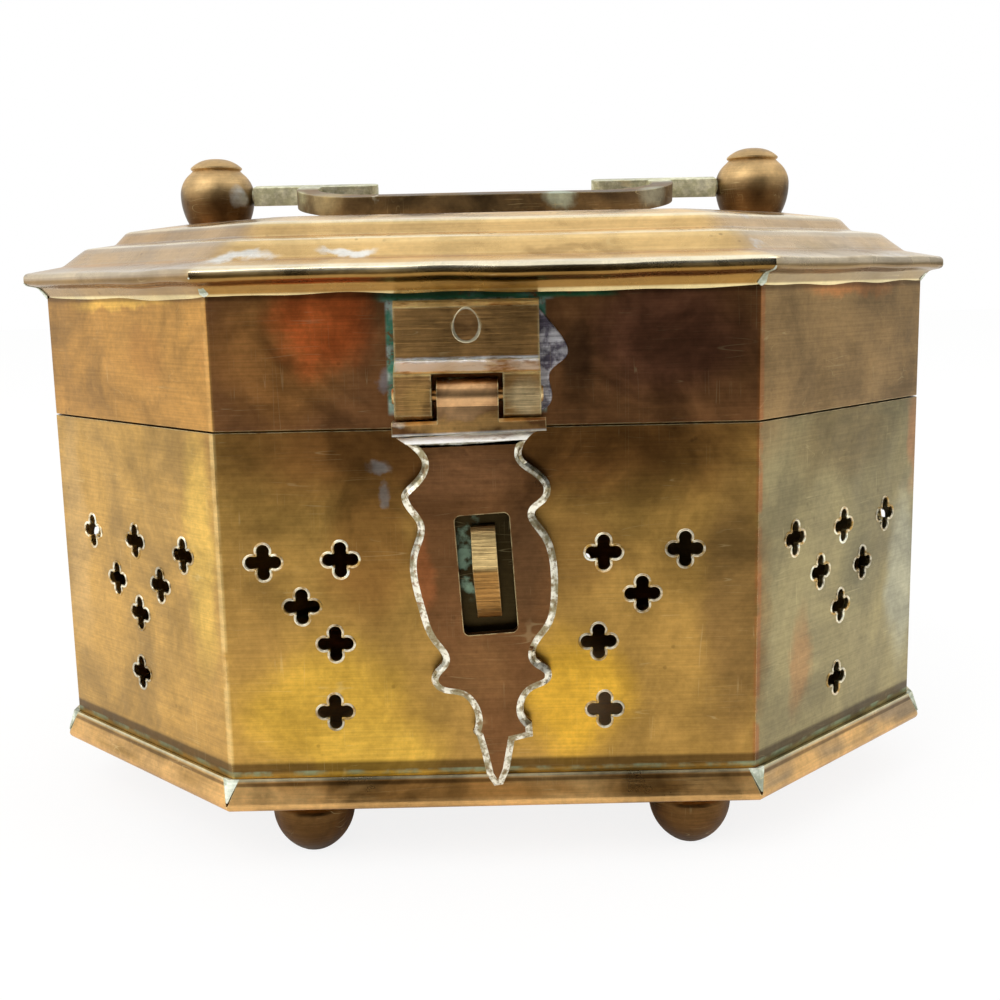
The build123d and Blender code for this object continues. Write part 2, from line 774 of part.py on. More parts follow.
with BuildPart() as hasp:
    extrude(hasp_outline(), amount=plate_sheet)
    chamfer(hasp.faces().sort_by(Axis.Y)[0].edges(), plate_edge)
    with BuildSketch(hasp_plane.offset(plate_back)):
        with Locations((slot_shift, below_seam((slot_top + slot_foot) / 2) - knuckle_up)):
            RectangleRounded(slot_width, below_seam(slot_top - slot_foot), slot_corner)
    extrude(amount=plate_sheet, mode=Mode.SUBTRACT)
    add(under_bar.part)
    with BuildSketch(bar_plane):
        with BuildLine():
            Polyline(
                (plate_back, bar_foot - knuckle_up),
                (bar_face, bar_foot - knuckle_up),
                (bar_face, bar_top - bar_edge - knuckle_up),
                (bar_face - bar_edge, bar_top - knuckle_up),
                (plate_back, bar_top - knuckle_up),
                close=True,
            )
        make_face()
    extrude(amount=bar_half, both=True)
    with BuildSketch(leaf_axis):
        Circle(block_radius + block_gap)
        with Locations((-knuckle_out, -block_radius - block_gap)):
            Rectangle(knuckle_out, block_radius, align=(Align.MIN, Align.MIN))
    extrude(amount=leaf_width, both=True, mode=Mode.SUBTRACT)
    with BuildSketch(leaf_axis):
        Circle(knuckle_radius)
        with Locations((plate_back - knuckle_out, bar_foot - knuckle_up)):
            Rectangle(bar_face - plate_back, knuckle_up - bar_foot, align=(Align.MIN, Align.MIN))
    extrude(amount=knuckle_width / 2, both=True)
    with BuildSketch(leaf_axis):
        Circle(pin_radius + pin_fit)
    extrude(amount=knuckle_width / 2, both=True, mode=Mode.SUBTRACT)
save(hasp.part, "hasp")


def hinge_block(up, face):
    """Side outline of a rear leaf, local x out from the axis and y along the leaf by up."""
    with BuildLine() as outline:
        hinge_back = -hinge_out
        hinge_face = hinge_back + hinge_sheet
        Polyline(
            (hinge_back, up * hinge_gap),
            (face, up * hinge_gap),
            (face, up * block_radius),
            (hinge_face, up * (block_radius + block_slope)),
            (hinge_face, up * hinge_height),
            (hinge_back, up * hinge_height),
            (hinge_back, up * hinge_gap),
        )
    return outline.line


# Rear hinges: the lid leaf has the two outer knuckles, the body leaf the middle one
knuckle_half = hinge_knuckle / 2
notch_half = knuckle_half + hinge_gap
for name, x in (("hinge_left", -hinge_across / 2), ("hinge_right", hinge_across / 2)):
    axis_plane = side_on_rear(x, half_depth + hinge_out, hinge_z)
    wall_plane = upright(x, half_depth, hinge_z, 90)
    rivet_across = hinge_rivet_across / 2
    lid_spots = [(-rivet_across, hinge_rivet_height), (rivet_across, hinge_rivet_height)]
    body_spots = [(-rivet_across, -hinge_rivet_height), (rivet_across, -hinge_rivet_height)]
    with BuildPart() as lid_leaf:
        with BuildSketch(axis_plane):
            with BuildLine():
                add(hinge_block(1, block_face))
            make_face()
            Circle(knuckle_radius)
        extrude(amount=hinge_width / 2, both=True)
        with BuildSketch(axis_plane):
            with Locations((0, notch_rise - block_radius - 1)):
                Rectangle(4 * block_radius, 2 * block_radius + 2)
        extrude(amount=notch_half, both=True, mode=Mode.SUBTRACT)
        with BuildSketch(axis_plane):
            Circle(pin_radius + pin_fit)
        extrude(amount=hinge_width / 2, both=True, mode=Mode.SUBTRACT)
        with BuildSketch(wall_plane):
            with Locations(*lid_spots):
                Circle(hinge_rivet_radius + tenon_fit)
        extrude(amount=hinge_sheet, mode=Mode.SUBTRACT)
    save(lid_leaf.part, f"{name}_lid_leaf")
    with BuildPart() as body_leaf:
        with BuildSketch(axis_plane):
            with Locations((-hinge_out, -hinge_height)):
                Rectangle(hinge_sheet, hinge_height - hinge_gap, align=(Align.MIN, Align.MIN))
            Circle(knuckle_radius + hinge_gap, mode=Mode.SUBTRACT)
        extrude(amount=hinge_width / 2, both=True)
        with BuildSketch(axis_plane):
            with BuildLine():
                add(hinge_block(-1, hinge_neck_face))
            make_face()
            Circle(knuckle_radius)
        extrude(amount=knuckle_half, both=True)
        with BuildSketch(axis_plane):
            Circle(pin_radius + pin_fit)
        extrude(amount=knuckle_half, both=True, mode=Mode.SUBTRACT)
        with BuildSketch(wall_plane):
            with Locations(*body_spots):
                Circle(hinge_rivet_radius + tenon_fit)
        extrude(amount=hinge_sheet, mode=Mode.SUBTRACT)
    save(body_leaf.part, f"{name}_body_leaf")
    save(pin(axis_plane, hinge_width), f"{name}_pin")
    save(rivets(wall_plane, lid_spots, hinge_rivet_radius, hinge_sheet), f"{name}_lid_rivets")
    save(rivets(wall_plane, body_spots, hinge_rivet_radius, hinge_sheet), f"{name}_body_rivets")
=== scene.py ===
"""Looks of an old sheet-brass trinket box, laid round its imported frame.

The frame gives every place and size. Each operator finishes one piece or a group of like pieces.
"""

import json
from math import cos, pi, radians, sin, tan

import bmesh
import bpy
import numpy as np
from mathutils import Matrix, Vector

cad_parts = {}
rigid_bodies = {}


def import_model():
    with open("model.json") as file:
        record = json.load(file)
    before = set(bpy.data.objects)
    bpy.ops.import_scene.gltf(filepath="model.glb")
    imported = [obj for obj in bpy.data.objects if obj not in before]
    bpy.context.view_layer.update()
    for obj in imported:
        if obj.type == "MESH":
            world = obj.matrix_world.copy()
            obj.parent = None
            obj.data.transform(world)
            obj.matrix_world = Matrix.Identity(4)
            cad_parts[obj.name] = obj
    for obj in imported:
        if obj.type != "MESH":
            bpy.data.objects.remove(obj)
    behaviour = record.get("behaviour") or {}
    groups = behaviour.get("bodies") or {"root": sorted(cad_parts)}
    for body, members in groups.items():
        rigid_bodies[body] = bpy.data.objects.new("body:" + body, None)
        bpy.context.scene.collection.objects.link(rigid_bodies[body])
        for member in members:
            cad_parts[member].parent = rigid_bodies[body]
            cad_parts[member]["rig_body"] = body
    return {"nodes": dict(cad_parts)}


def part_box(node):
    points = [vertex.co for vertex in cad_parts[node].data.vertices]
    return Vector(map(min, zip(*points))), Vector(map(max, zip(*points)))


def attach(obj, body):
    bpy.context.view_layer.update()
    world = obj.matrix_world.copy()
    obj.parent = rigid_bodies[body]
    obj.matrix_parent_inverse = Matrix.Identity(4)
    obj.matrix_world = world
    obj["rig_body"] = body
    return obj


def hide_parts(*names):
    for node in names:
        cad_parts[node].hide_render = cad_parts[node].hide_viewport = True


bl_info = {
    "name": "Brass trinket box",
    "version": (1, 0, 0),
    "blender": (4, 5, 0),
    "location": "View3D > Sidebar > Trinket box",
    "description": "Patinated sheet brass, cast fittings and studio stage for an octagonal trinket box",
    "category": "Add Mesh",
}

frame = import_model()
NODES = frame["nodes"]
BODY_OF = {name: node["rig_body"] for name, node in NODES.items()}
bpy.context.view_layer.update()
MM = 0.001

# Points nearer than this are one, and angles in degrees: faces that are one plane, edges that stay
# sharp, and edges that are worn round
MERGE = 0.0015 * MM
ONE_PLANE = 1
SHARP = 35
HASP_SHARP = 12
LID_TOP_SHARP = 40
WORN_EDGE = 32

# Plan and heights in millimetres, read from the frame. The chamfers turn by 45 degrees
WALL_LOW, WALL_HIGH = (Vector(corner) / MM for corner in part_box("lid_wall"))
HALF_WIDTH = WALL_HIGH.x
HALF_DEPTH = WALL_HIGH.y
LID_EDGE = WALL_HIGH.z
SEAM = WALL_LOW.z
CHAMFER_RUN = 36.3
MITRE = tan(pi / 8)
FRONT_HALF = HALF_WIDTH - CHAMFER_RUN

# The hasp, in millimetres: its plate's face and the cove over it, which rises to the right by HASP_RISE
HASP_FACE = -55.2
HASP_RISE = 0.021
COVE_FOOT = 70.5
COVE_MIDDLE = 71.1
HASP_SWAY = 3.3
HINGE_HEIGHT = 77.5
SLOT_TOP_X = -2.1
SLOT_REACH = 6.2
SLOT_HEIGHTS = (37, 61)
FILED_WIDTH = 0.6
FILED_DROP = 0.35

# Quatrefoil holes, in millimetres: lobes of LOBE_RADIUS round four centres LOBE_OUT from the middle
LOBE_OUT = 1.85
LOBE_RADIUS = 1.22
LOBE_TURN = 118
HOLE_SPAN = 5.86
HOLE_HEIGHTS = (16, 66)
BURR_RADIUS = 0.24
BURR_SUNK = 0.08


def srgb(code):
    """Scene-linear colour of a screen colour written as six hex digits."""
    channels = [int(code[i : i + 2], 16) / 255 for i in (0, 2, 4)]
    return tuple(c / 12.92 if c <= 0.04045 else ((c + 0.055) / 1.055) ** 2.4 for c in channels)


# Driving values for a user


def colour_prop(name, description, code):
    return bpy.props.FloatVectorProperty(
        name=name, description=description, default=srgb(code), size=3, min=0.0, max=1.0, subtype="COLOR"
    )


def length_prop(name, description, default):
    return bpy.props.FloatProperty(name=name, description=description, default=default, unit="LENGTH")


class BoxColours(bpy.types.PropertyGroup):
    """Colours of the brass, its patina and the corrosion on it, some of them also used as painted shade and
    painted reflection
    """

    bright: colour_prop("Bright brass", "Worn high spots and edges", "F2DFA6")
    # The dark patina is also painted as shade under the cornice and under the pan's top edge
    umber: colour_prop("Dark patina", "Darkest patina of hollows, pits and seams", "3B2614")
    verdigris: colour_prop("Verdigris", "Green corrosion under the cornice", "3F8A5E")
    wall: colour_prop("Pierced wall", "Sheet of the pierced wall's front", "B48C48")
    lid: colour_prop("Lid wall", "Sheet of the lid wall's front", "91643E")
    top: colour_prop("Lid top", "Pressed sheet of the lid's front", "ECCB8E")
    base: colour_prop("Base pan", "Sheet of the pan's front", "B58448")
    leaf: colour_prop("Hinge leaf", "Cast leaf on the lid", "B48A54")
    hasp: colour_prop("Hasp", "Brown patina of the cast hasp", "7A5433")
    handle: colour_prop("Handle grip", "Patina of the cast grip", "7A6240")
    # The posts' dark lower part is painted reflection: the turned bellies reflect the dark room in front
    posts: colour_prop("Handle posts", "Dark lower part of the turned posts", "6C5030")
    feet: colour_prop("Feet", "Dark bronze of the turned feet", "6A4C2A")
    hinges: colour_prop("Rear hinges", "Brown patina of the rear hinges", "7E5C34")


class BoxSizes(bpy.types.PropertyGroup):
    """Sizes of the finish"""

    edge_wear: length_prop("Edge wear", "Width of the bright wear along edges", 0.35 * MM)
    soft_edge: length_prop("Soft edge", "Rounding of worn cast edges", 0.3 * MM)
    wobble: length_prop("Wobble", "How far the pressed lid strays from true", 0.28 * MM)


class StageSizes(bpy.types.PropertyGroup):
    """Camera and studio"""

    lens: bpy.props.FloatProperty(
        name="Lens", description="Focal length on a 36 mm sensor", default=46.05, min=10.0
    )
    camera_x: length_prop("Camera X", "Camera position to the right of the box", 1.28 * MM)
    camera_distance: length_prop("Camera distance", "Camera in front of the box's middle", 249.6 * MM)
    camera_height: length_prop("Camera height", "Camera above the ground", 94.4 * MM)
    yaw: bpy.props.FloatProperty(
        name="Yaw", description="Turn of the camera to the right", default=radians(0.18), subtype="ANGLE"
    )
    pitch: bpy.props.FloatProperty(
        name="Pitch", description="Tilt of the camera down", default=radians(9.7), subtype="ANGLE"
    )
    roll: bpy.props.FloatProperty(
        name="Roll", description="Turn of the picture", default=-0.021, subtype="ANGLE"
    )
    floor: length_prop("Floor size", "Side of the white floor", 6.0)


# Node building


class Paint:
    """Short calls that add shader nodes to one tree and link them."""

    def __init__(self, tree, vector=None):
        self.tree = tree
        self.vector = vector or self.new("TexCoord").outputs["Object"]
        self.stray = None

    def new(self, kind, **settings):
        node = self.tree.nodes.new("ShaderNode" + kind)
        for name, value in settings.items():
            setattr(node, name, value)
        return node

    def feed(self, socket, value):
        if isinstance(value, bpy.types.NodeSocket):
            self.tree.links.new(value, socket)
        elif value is not None:
            if socket.type == "RGBA" and len(value) == 3:
                value = (*value, 1.0)
            socket.default_value = value

    def noise(self, size, detail=3.0, rough=0.55, warp=0.0, stretch=(1, 1, 1), shift=(0, 0, 0), out="Fac"):
        """Noise whose blobs are about size metres, longer along an axis by its stretch."""
        mapping = self.new("Mapping")
        self.feed(mapping.inputs["Vector"], self.vector)
        mapping.inputs["Location"].default_value = shift
        mapping.inputs["Scale"].default_value = [1 / s for s in stretch]
        tex = self.new("TexNoise")
        self.feed(tex.inputs["Vector"], mapping.outputs[0])
        tex.inputs["Scale"].default_value = 1 / size
        tex.inputs["Detail"].default_value = detail
        tex.inputs["Roughness"].default_value = rough
        tex.inputs["Distortion"].default_value = warp
        return tex.outputs[out]

    def ragged(self, size, low, high, **settings):
        """Mask with ragged edges: noise of about size metres that rises from 0 at low to 1 at high."""
        return self.step(self.noise(size, **settings), low, high)

    def cells(self, size):
        """Distance from the middles of random cells about size metres apart."""
        tex = self.new("TexVoronoi", feature="F1")
        self.feed(tex.inputs["Vector"], self.vector)
        tex.inputs["Scale"].default_value = 1 / size
        return tex.outputs["Distance"]

    def math(self, operation, a, b=0.5, c=None):
        node = self.new("Math", operation=operation)
        for socket, value in zip(node.inputs, (a, b, c)):
            self.feed(socket, value)
        return node.outputs[0]

    def times(self, *values):
        result = values[0]
        for value in values[1:]:
            result = self.math("MULTIPLY", result, value)
        return result

    def step(self, value, low, high, to_low=0.0, to_high=1.0):
        """Smooth rise from to_low to to_high while value goes from low to high."""
        node = self.new("MapRange", interpolation_type="SMOOTHSTEP")
        for name, given in (
            ("Value", value), ("From Min", low), ("From Max", high), ("To Min", to_low), ("To Max", to_high)
        ):
            self.feed(node.inputs[name], given)
        return node.outputs[0]

    def mix(self, mask, under, over, blend="MIX"):
        node = self.new("Mix", data_type="RGBA", blend_type=blend)
        self.feed(node.inputs["Factor"], mask)
        self.feed(node.inputs[6], under)
        self.feed(node.inputs[7], over)
        return node.outputs[2]

    def vector_math(self, operation, a, b=None):
        node = self.new("VectorMath", operation=operation)
        self.feed(node.inputs[0], a)
        self.feed(node.inputs[1], b)
        return node.outputs["Value" if operation in ("LENGTH", "DOT_PRODUCT") else "Vector"]

    def axis(self, name):
        node = self.new("SeparateXYZ")
        self.feed(node.inputs[0], self.vector)
        return node.outputs[name]

    def strayed(self):
        """Object position shaken by noise, so that patches get ragged outlines."""
        if self.stray is None:
            coarse = self.noise(0.011, detail=5, rough=0.6, out="Color")
            centred = self.vector_math("SUBTRACT", coarse, (0.5,) * 3)
            shaken = self.vector_math("MULTIPLY", centred, (0.009,) * 3)
            self.stray = self.vector_math("ADD", self.vector, shaken)
        return self.stray

    def spot(self, centre, radii, soft=0.6):
        """1 inside an ellipsoid given in millimetres, falling to 0 over its soft outer share."""
        away = self.vector_math("SUBTRACT", self.strayed(), [c * MM for c in centre])
        scaled = self.vector_math("DIVIDE", away, [r * MM for r in radii])
        return self.step(self.vector_math("LENGTH", scaled), 1.0, 1.0 - soft)

    def patches(self, colour, spots):
        """Lays soft ragged patches over a colour: code, centre and radii in millimetres, and strength."""
        for code, centre, radii, strength in spots:
            colour = self.mix(self.times(self.spot(centre, radii), strength), colour, srgb(code))
        return colour

    def band(self, axis, place, half, soft):
        """1 within half millimetres of a place along an axis, falling to 0 over soft millimetres."""
        away = self.math("ABSOLUTE", self.math("SUBTRACT", self.axis(axis), place * MM))
        return self.step(away, (half + soft) * MM, half * MM)

    def past(self, axis, low, high):
        """Rise from 0 at low to 1 at high, both in millimetres along an axis."""
        return self.step(self.axis(axis), low * MM, high * MM)

    def bands(self, colour, rows, broken=None):
        """Lays bands by height over a colour: place, half width and soft edge in mm, code and strength."""
        for place, half, soft, code, strength in rows:
            mask = self.times(self.band("Z", place, half, soft), strength)
            if broken is not None:
                mask = self.times(mask, broken)
            colour = self.mix(mask, colour, srgb(code))
        return colour

    def group(self, tree, **values):
        node = self.tree.nodes.new("ShaderNodeGroup")
        node.node_tree = tree
        for name, value in values.items():
            self.feed(node.inputs[name], value)
        self.feed(node.inputs["Vector"], self.vector)
        return node.outputs

    def bump(self, height, strength, distance, normal=None):
        node = self.new("Bump")
        self.feed(node.inputs["Height"], height)
        node.inputs["Strength"].default_value = strength
        node.inputs["Distance"].default_value = distance
        self.feed(node.inputs["Normal"], normal)
        return node.outputs[0]


def effect(name, inputs, outputs):
    """An empty shader node group with these number sockets, and a Paint to fill it."""
    tree = bpy.data.node_groups.new(name, "ShaderNodeTree")
    tree.interface.new_socket("Vector", in_out="INPUT", socket_type="NodeSocketVector")
    for socket, default in inputs.items():
        made = tree.interface.new_socket(socket, in_out="INPUT", socket_type="NodeSocketFloat")
        made.default_value = default
    for socket in outputs:
        tree.interface.new_socket(socket, in_out="OUTPUT", socket_type="NodeSocketFloat")
    given = tree.nodes.new("NodeGroupInput").outputs
    result = tree.nodes.new("NodeGroupOutput").inputs
    return tree, Paint(tree, given["Vector"]), given, result


def patina_effect():
    """Cloudy tone, fine speckle, pits, long brush lines and their height, on the surface of old brass."""
    outputs = ("Cloud", "Speck", "Pit", "Line", "Height", "Dent")
    tree, paint, given, result = effect("patina", {"Pits": 0.5, "Brush": 0.5}, outputs)
    cloud = paint.noise(0.016, detail=6, rough=0.62, warp=0.5)
    speck = paint.noise(0.0011, detail=4, rough=0.7)
    depth = paint.step(paint.cells(0.0023), 0.2, 0.08)
    chance = paint.ragged(0.009, 0.58, 0.68, detail=2)
    pit = paint.times(depth, chance, given["Pits"])
    line = paint.noise(0.00034, detail=3, rough=0.65, stretch=(36, 36, 1))
    lines = paint.times(paint.math("SUBTRACT", line, 0.5), given["Brush"])
    grain = paint.math("MULTIPLY", paint.noise(0.0034, detail=2, rough=0.5), 0.3)
    height = paint.math("SUBTRACT", paint.math("MULTIPLY_ADD", lines, 0.4, grain), paint.times(pit, 0.35))
    for socket, value in zip(outputs, (cloud, speck, pit, line, height, paint.noise(0.017, detail=2))):
        paint.feed(result[socket], value)
    return tree


def scratch_effect():
    """Thin scratches in three directions, broken up along their length."""
    tree, paint, given, result = effect("scratches", {"Amount": 0.5}, ("Mask",))
    masks = []
    for stretch, shift in (((60, 60, 1), (0, 0, 0)), ((1, 1, 70), (3, 1, 2)), ((30, 4, 2), (7, 3, 5))):
        lines = paint.noise(0.0009, detail=0, rough=0.5, stretch=stretch, shift=shift)
        thin = paint.step(paint.math("ABSOLUTE", paint.math("SUBTRACT", lines, 0.5)), 0.010, 0.002)
        where = paint.ragged(0.007, 0.54, 0.64, detail=3, shift=shift)
        masks.append(paint.times(thin, where))
    both = paint.math("MAXIMUM", paint.math("MAXIMUM", masks[0], masks[1]), masks[2])
    paint.feed(result["Mask"], paint.times(both, given["Amount"]))
    return tree


def edge_effect():
    """Wear where the surface turns sharply within a short way, broken up by noise."""
    tree, paint, given, result = effect("edge wear", {"Width": 0.5 * MM, "Amount": 1.0}, ("Mask",))
    rounded = paint.new("Bevel", samples=6)
    paint.feed(rounded.inputs["Radius"], given["Width"])
    flat = paint.new("NewGeometry").outputs["Normal"]
    turn = paint.vector_math("DOT_PRODUCT", rounded.outputs[0], flat)
    broken = paint.ragged(0.0018, 0.30, 0.56, detail=4)
    paint.feed(result["Mask"], paint.times(paint.step(turn, 0.965, 0.85), broken, given["Amount"]))
    return tree


EFFECTS = {}


def effects():
    """The node groups that the materials share, made once."""
    if not EFFECTS:
        EFFECTS.update(patina=patina_effect(), scratches=scratch_effect(), edges=edge_effect())
    return EFFECTS


def new_material(name):
    """An empty node material with its Principled shader."""
    material = bpy.data.materials.new(name)
    material.use_nodes = True
    return material, material.node_tree.nodes["Principled BSDF"]


def metal(
    name, tint, rough=(0.26, 0.46), tone=0.35, relief=0.25, dents=0.0, pits=0.4, brush=0.4, marks=0.4,
    wear=0.8, width=None, shine=1.0, filed=False,
):
    """A metal tinted by tint(paint, colours), with patina, pits, brush lines, scratches and edge wear.

    rough holds the lowest and highest roughness, and tone how far the patina lightens and darkens the
    tint. relief scales the fine bump, and dents is the depth of broad dents in millimetres. pits, brush,
    marks and wear are the amounts of the shared effects, width is that of the edge wear, shine the share
    of metal, and filed turns on the bare filed bevel.
    """
    shared = effects()
    colours = bpy.context.scene.box_colours
    width = width or bpy.context.scene.box_sizes.edge_wear
    material, shader = new_material(name)
    paint = Paint(material.node_tree)
    patina = paint.group(shared["patina"], Pits=pits, Brush=brush)
    scratched = paint.group(shared["scratches"], Amount=marks)["Mask"]
    worn = paint.group(shared["edges"], Width=width, Amount=wear)["Mask"]
    light = paint.step(patina["Cloud"], 0.32, 0.68, 1 - tone, 1 + tone * 0.6)
    light = paint.times(light, paint.step(patina["Speck"], 0.3, 0.7, 1 - tone * 0.25, 1 + tone * 0.25))
    light = paint.times(light, paint.step(patina["Line"], 0.35, 0.65, 1 - brush * 0.28, 1 + brush * 0.28))
    colour = paint.mix(1.0, tint(paint, colours), light, "MULTIPLY")
    colour = paint.mix(paint.math("MULTIPLY", scratched, 0.6), colour, colours.bright)
    colour = paint.mix(worn, colour, colours.bright)
    colour = paint.mix(paint.math("MULTIPLY", patina["Pit"], 0.7), colour, colours.umber)
    if filed:
        edge = paint.new("Attribute", attribute_name="filed").outputs["Fac"]
        bare = paint.step(paint.noise(0.0008, detail=5, rough=0.75), 0.38, 0.5, 0.45, 1.0)
        cream = paint.mix(paint.ragged(0.0016, 0.4, 0.6, detail=4), srgb("9C9272"), srgb("F4F0DE"))
        colour = paint.mix(paint.times(edge, bare), colour, cream)
    paint.feed(shader.inputs["Base Color"], colour)
    paint.feed(shader.inputs["Metallic"], shine)
    paint.feed(shader.inputs["Roughness"], paint.step(patina["Cloud"], 0.3, 0.7, *rough))
    normal = paint.bump(patina["Dent"], 1.0, dents * MM) if dents else None
    paint.feed(shader.inputs["Normal"], paint.bump(patina["Height"], relief, 0.0005, normal))
    return material


# Meshes


def link(name, data):
    """A new object of this data in the scene."""
    made = bpy.data.objects.new(name, data)
    bpy.context.scene.collection.objects.link(made)
    return made


def mesh_points(mesh):
    """The mesh's vertices as rows of x, y and z in metres."""
    points = np.empty(len(mesh.vertices) * 3)
    mesh.vertices.foreach_get("co", points)
    return points.reshape(-1, 3)


def new_piece(name, vertices, faces, material, node):
    """A finished piece from its points and faces, riding on the body of a CAD node, with its slot."""
    mesh = bpy.data.meshes.new(name)
    mesh.from_pydata(np.asarray(vertices).tolist(), [], faces)
    mesh.shade_smooth()
    mesh.materials.append(material)
    piece = link(name, mesh)
    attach(piece, BODY_OF[node])
    return piece


def outward(piece, doubles=0.001 * MM):
    """Merges doubles and turns all faces of a closed piece outward."""
    work = bmesh.new()
    work.from_mesh(piece.data)
    bmesh.ops.remove_doubles(work, verts=work.verts, dist=doubles)
    bmesh.ops.recalc_face_normals(work, faces=work.faces)
    work.to_mesh(piece.data)
    work.free()


def finished_copy(node, mesh, material, sharp):
    """An object of this mesh that stands for a CAD node, shaded smooth up to an angle of sharp degrees."""
    custom = mesh.attributes.get("custom_normal")
    if custom:
        mesh.attributes.remove(custom)
    mesh.materials.clear()
    mesh.materials.append(material)
    mesh.polygons.foreach_set("material_index", np.zeros(len(mesh.polygons), dtype=np.int32))
    mesh.shade_smooth()
    mesh.set_sharp_from_angle(angle=radians(sharp))
    piece = link(node + "_finished", mesh)
    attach(piece, BODY_OF[node])
    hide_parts(node)
    return piece


def softened(node, material, width=None, segments=2):
    """A merged copy of a CAD node with its edges rounded by width, standing for the node."""
    mesh = NODES[node].data.copy()
    work = bmesh.new()
    work.from_mesh(mesh)
    bmesh.ops.remove_doubles(work, verts=work.verts, dist=MERGE)
    bmesh.ops.dissolve_limit(work, angle_limit=radians(ONE_PLANE), verts=work.verts, edges=work.edges)
    work.to_mesh(mesh)
    work.free()
    piece = finished_copy(node, mesh, material, SHARP)
    bevel = piece.modifiers.new("worn edges", "BEVEL")
    bevel.width = width or bpy.context.scene.box_sizes.soft_edge
    bevel.segments = segments
    bevel.limit_method = "ANGLE"
    bevel.angle_limit = radians(WORN_EDGE)
    bevel.harden_normals = True
    bevel.use_clamp_overlap = True
    return piece


def sag(piece, below, drop):
    """Lowers the points under a height by up to drop: z - drop * clip((below - z) / 2 mm, 0, 1)."""
    points = mesh_points(piece.data)
    points[:, 2] -= drop * np.clip((below - points[:, 2]) / (2 * MM), 0, 1)
    piece.data.vertices.foreach_set("co", points.ravel())
    piece.data.update()


def filed_hasp(material):
    """The hasp with a wide filed bevel: its face is inset and the rim outside the inset falls back.

    The bevel's faces carry 1 in the attribute "filed". The slot's edge and the line under the cove stay.
    """
    mesh = NODES["hasp"].data.copy()
    work = bmesh.new()
    work.from_mesh(mesh)
    bmesh.ops.remove_doubles(work, verts=work.verts, dist=MERGE)
    filed = work.faces.layers.float.new("filed")

    def behind_face(vertex):
        return vertex.co.y - HASP_FACE * MM

    def level(point):
        return point.z - HASP_RISE * point.x

    face = [
        f for f in work.faces
        if all(abs(behind_face(v)) < 0.01 * MM and v.co.z < COVE_FOOT * MM for v in f.verts)
    ]
    top = max(level(v.co) for f in face for v in f.verts) - 0.1 * MM
    for f in work.faces:
        deepest = max(behind_face(v) for v in f.verts)
        if 0.02 * MM < deepest < 0.6 * MM and level(f.calc_center_median()) < top:
            f[filed] = 1.0
    ring = bmesh.ops.inset_region(
        work, faces=face, thickness=FILED_WIDTH * MM, use_even_offset=True, use_boundary=True
    )
    for f in ring["faces"]:
        middle = f.calc_center_median() / MM
        slot_x = SLOT_TOP_X + tan(radians(HASP_SWAY)) * (HINGE_HEIGHT - middle.z)
        outer = abs(middle.x - slot_x) > SLOT_REACH or not SLOT_HEIGHTS[0] < middle.z < SLOT_HEIGHTS[1]
        f[filed] = float(outer and level(middle) * MM < top - 0.2 * MM)
    inner = {v for f in face for v in f.verts}
    for v in {v for f in ring["faces"] if f[filed] > 0.5 for v in f.verts} - inner:
        if level(v.co) < top:
            v.co.y += FILED_DROP * MM
    work.to_mesh(mesh)
    work.free()
    return finished_copy("hasp", mesh, material, HASP_SHARP)


def hole_centres():
    """Centre of each pierced hole on the wall's face with the face's outward and sideways directions.

    On each panel, the mesh's points between the corners are put in cells of 0.5 mm. Cells that reach
    each other by steps under 2 mm are one hole, if their span is that of a hole.
    """
    points = mesh_points(NODES["body_wall"].data) / MM
    corners = plan_path(1000.0)[0][::2]
    low, high = HOLE_HEIGHTS
    found = []
    for start, end in zip(corners, np.roll(corners, -1, axis=0)):
        length = np.linalg.norm(end - start)
        along = (end - start) / length
        outward_way = np.array([along[1], -along[0]])
        u = (points[:, :2] - start) @ along
        off = (points[:, :2] - start) @ outward_way
        inside = (abs(off) < 0.01) & (u > 2) & (u < length - 2)
        inside &= (points[:, 2] > low) & (points[:, 2] < high)
        spots = np.stack([u[inside], points[inside, 2]], axis=1)
        cells, cell_of = np.unique((spots * 2).round(), axis=0, return_inverse=True)
        linked = (np.linalg.norm(cells[:, None] - cells[None], axis=2) < 4).astype(np.float32)
        for _ in range(6):
            linked = (linked @ linked > 0).astype(np.float32)
        _, hole_of = np.unique(linked, axis=0, return_inverse=True)
        hole_of = hole_of.ravel()[cell_of.ravel()]
        for hole in np.unique(hole_of):
            least, most = spots[hole_of == hole].min(0), spots[hole_of == hole].max(0)
            if np.all(abs(most - least - HOLE_SPAN) < 0.4):
                middle = (least + most) / 2
                found.append((*(start + along * middle[0]), middle[1], *outward_way, *along))
    return np.array(found)


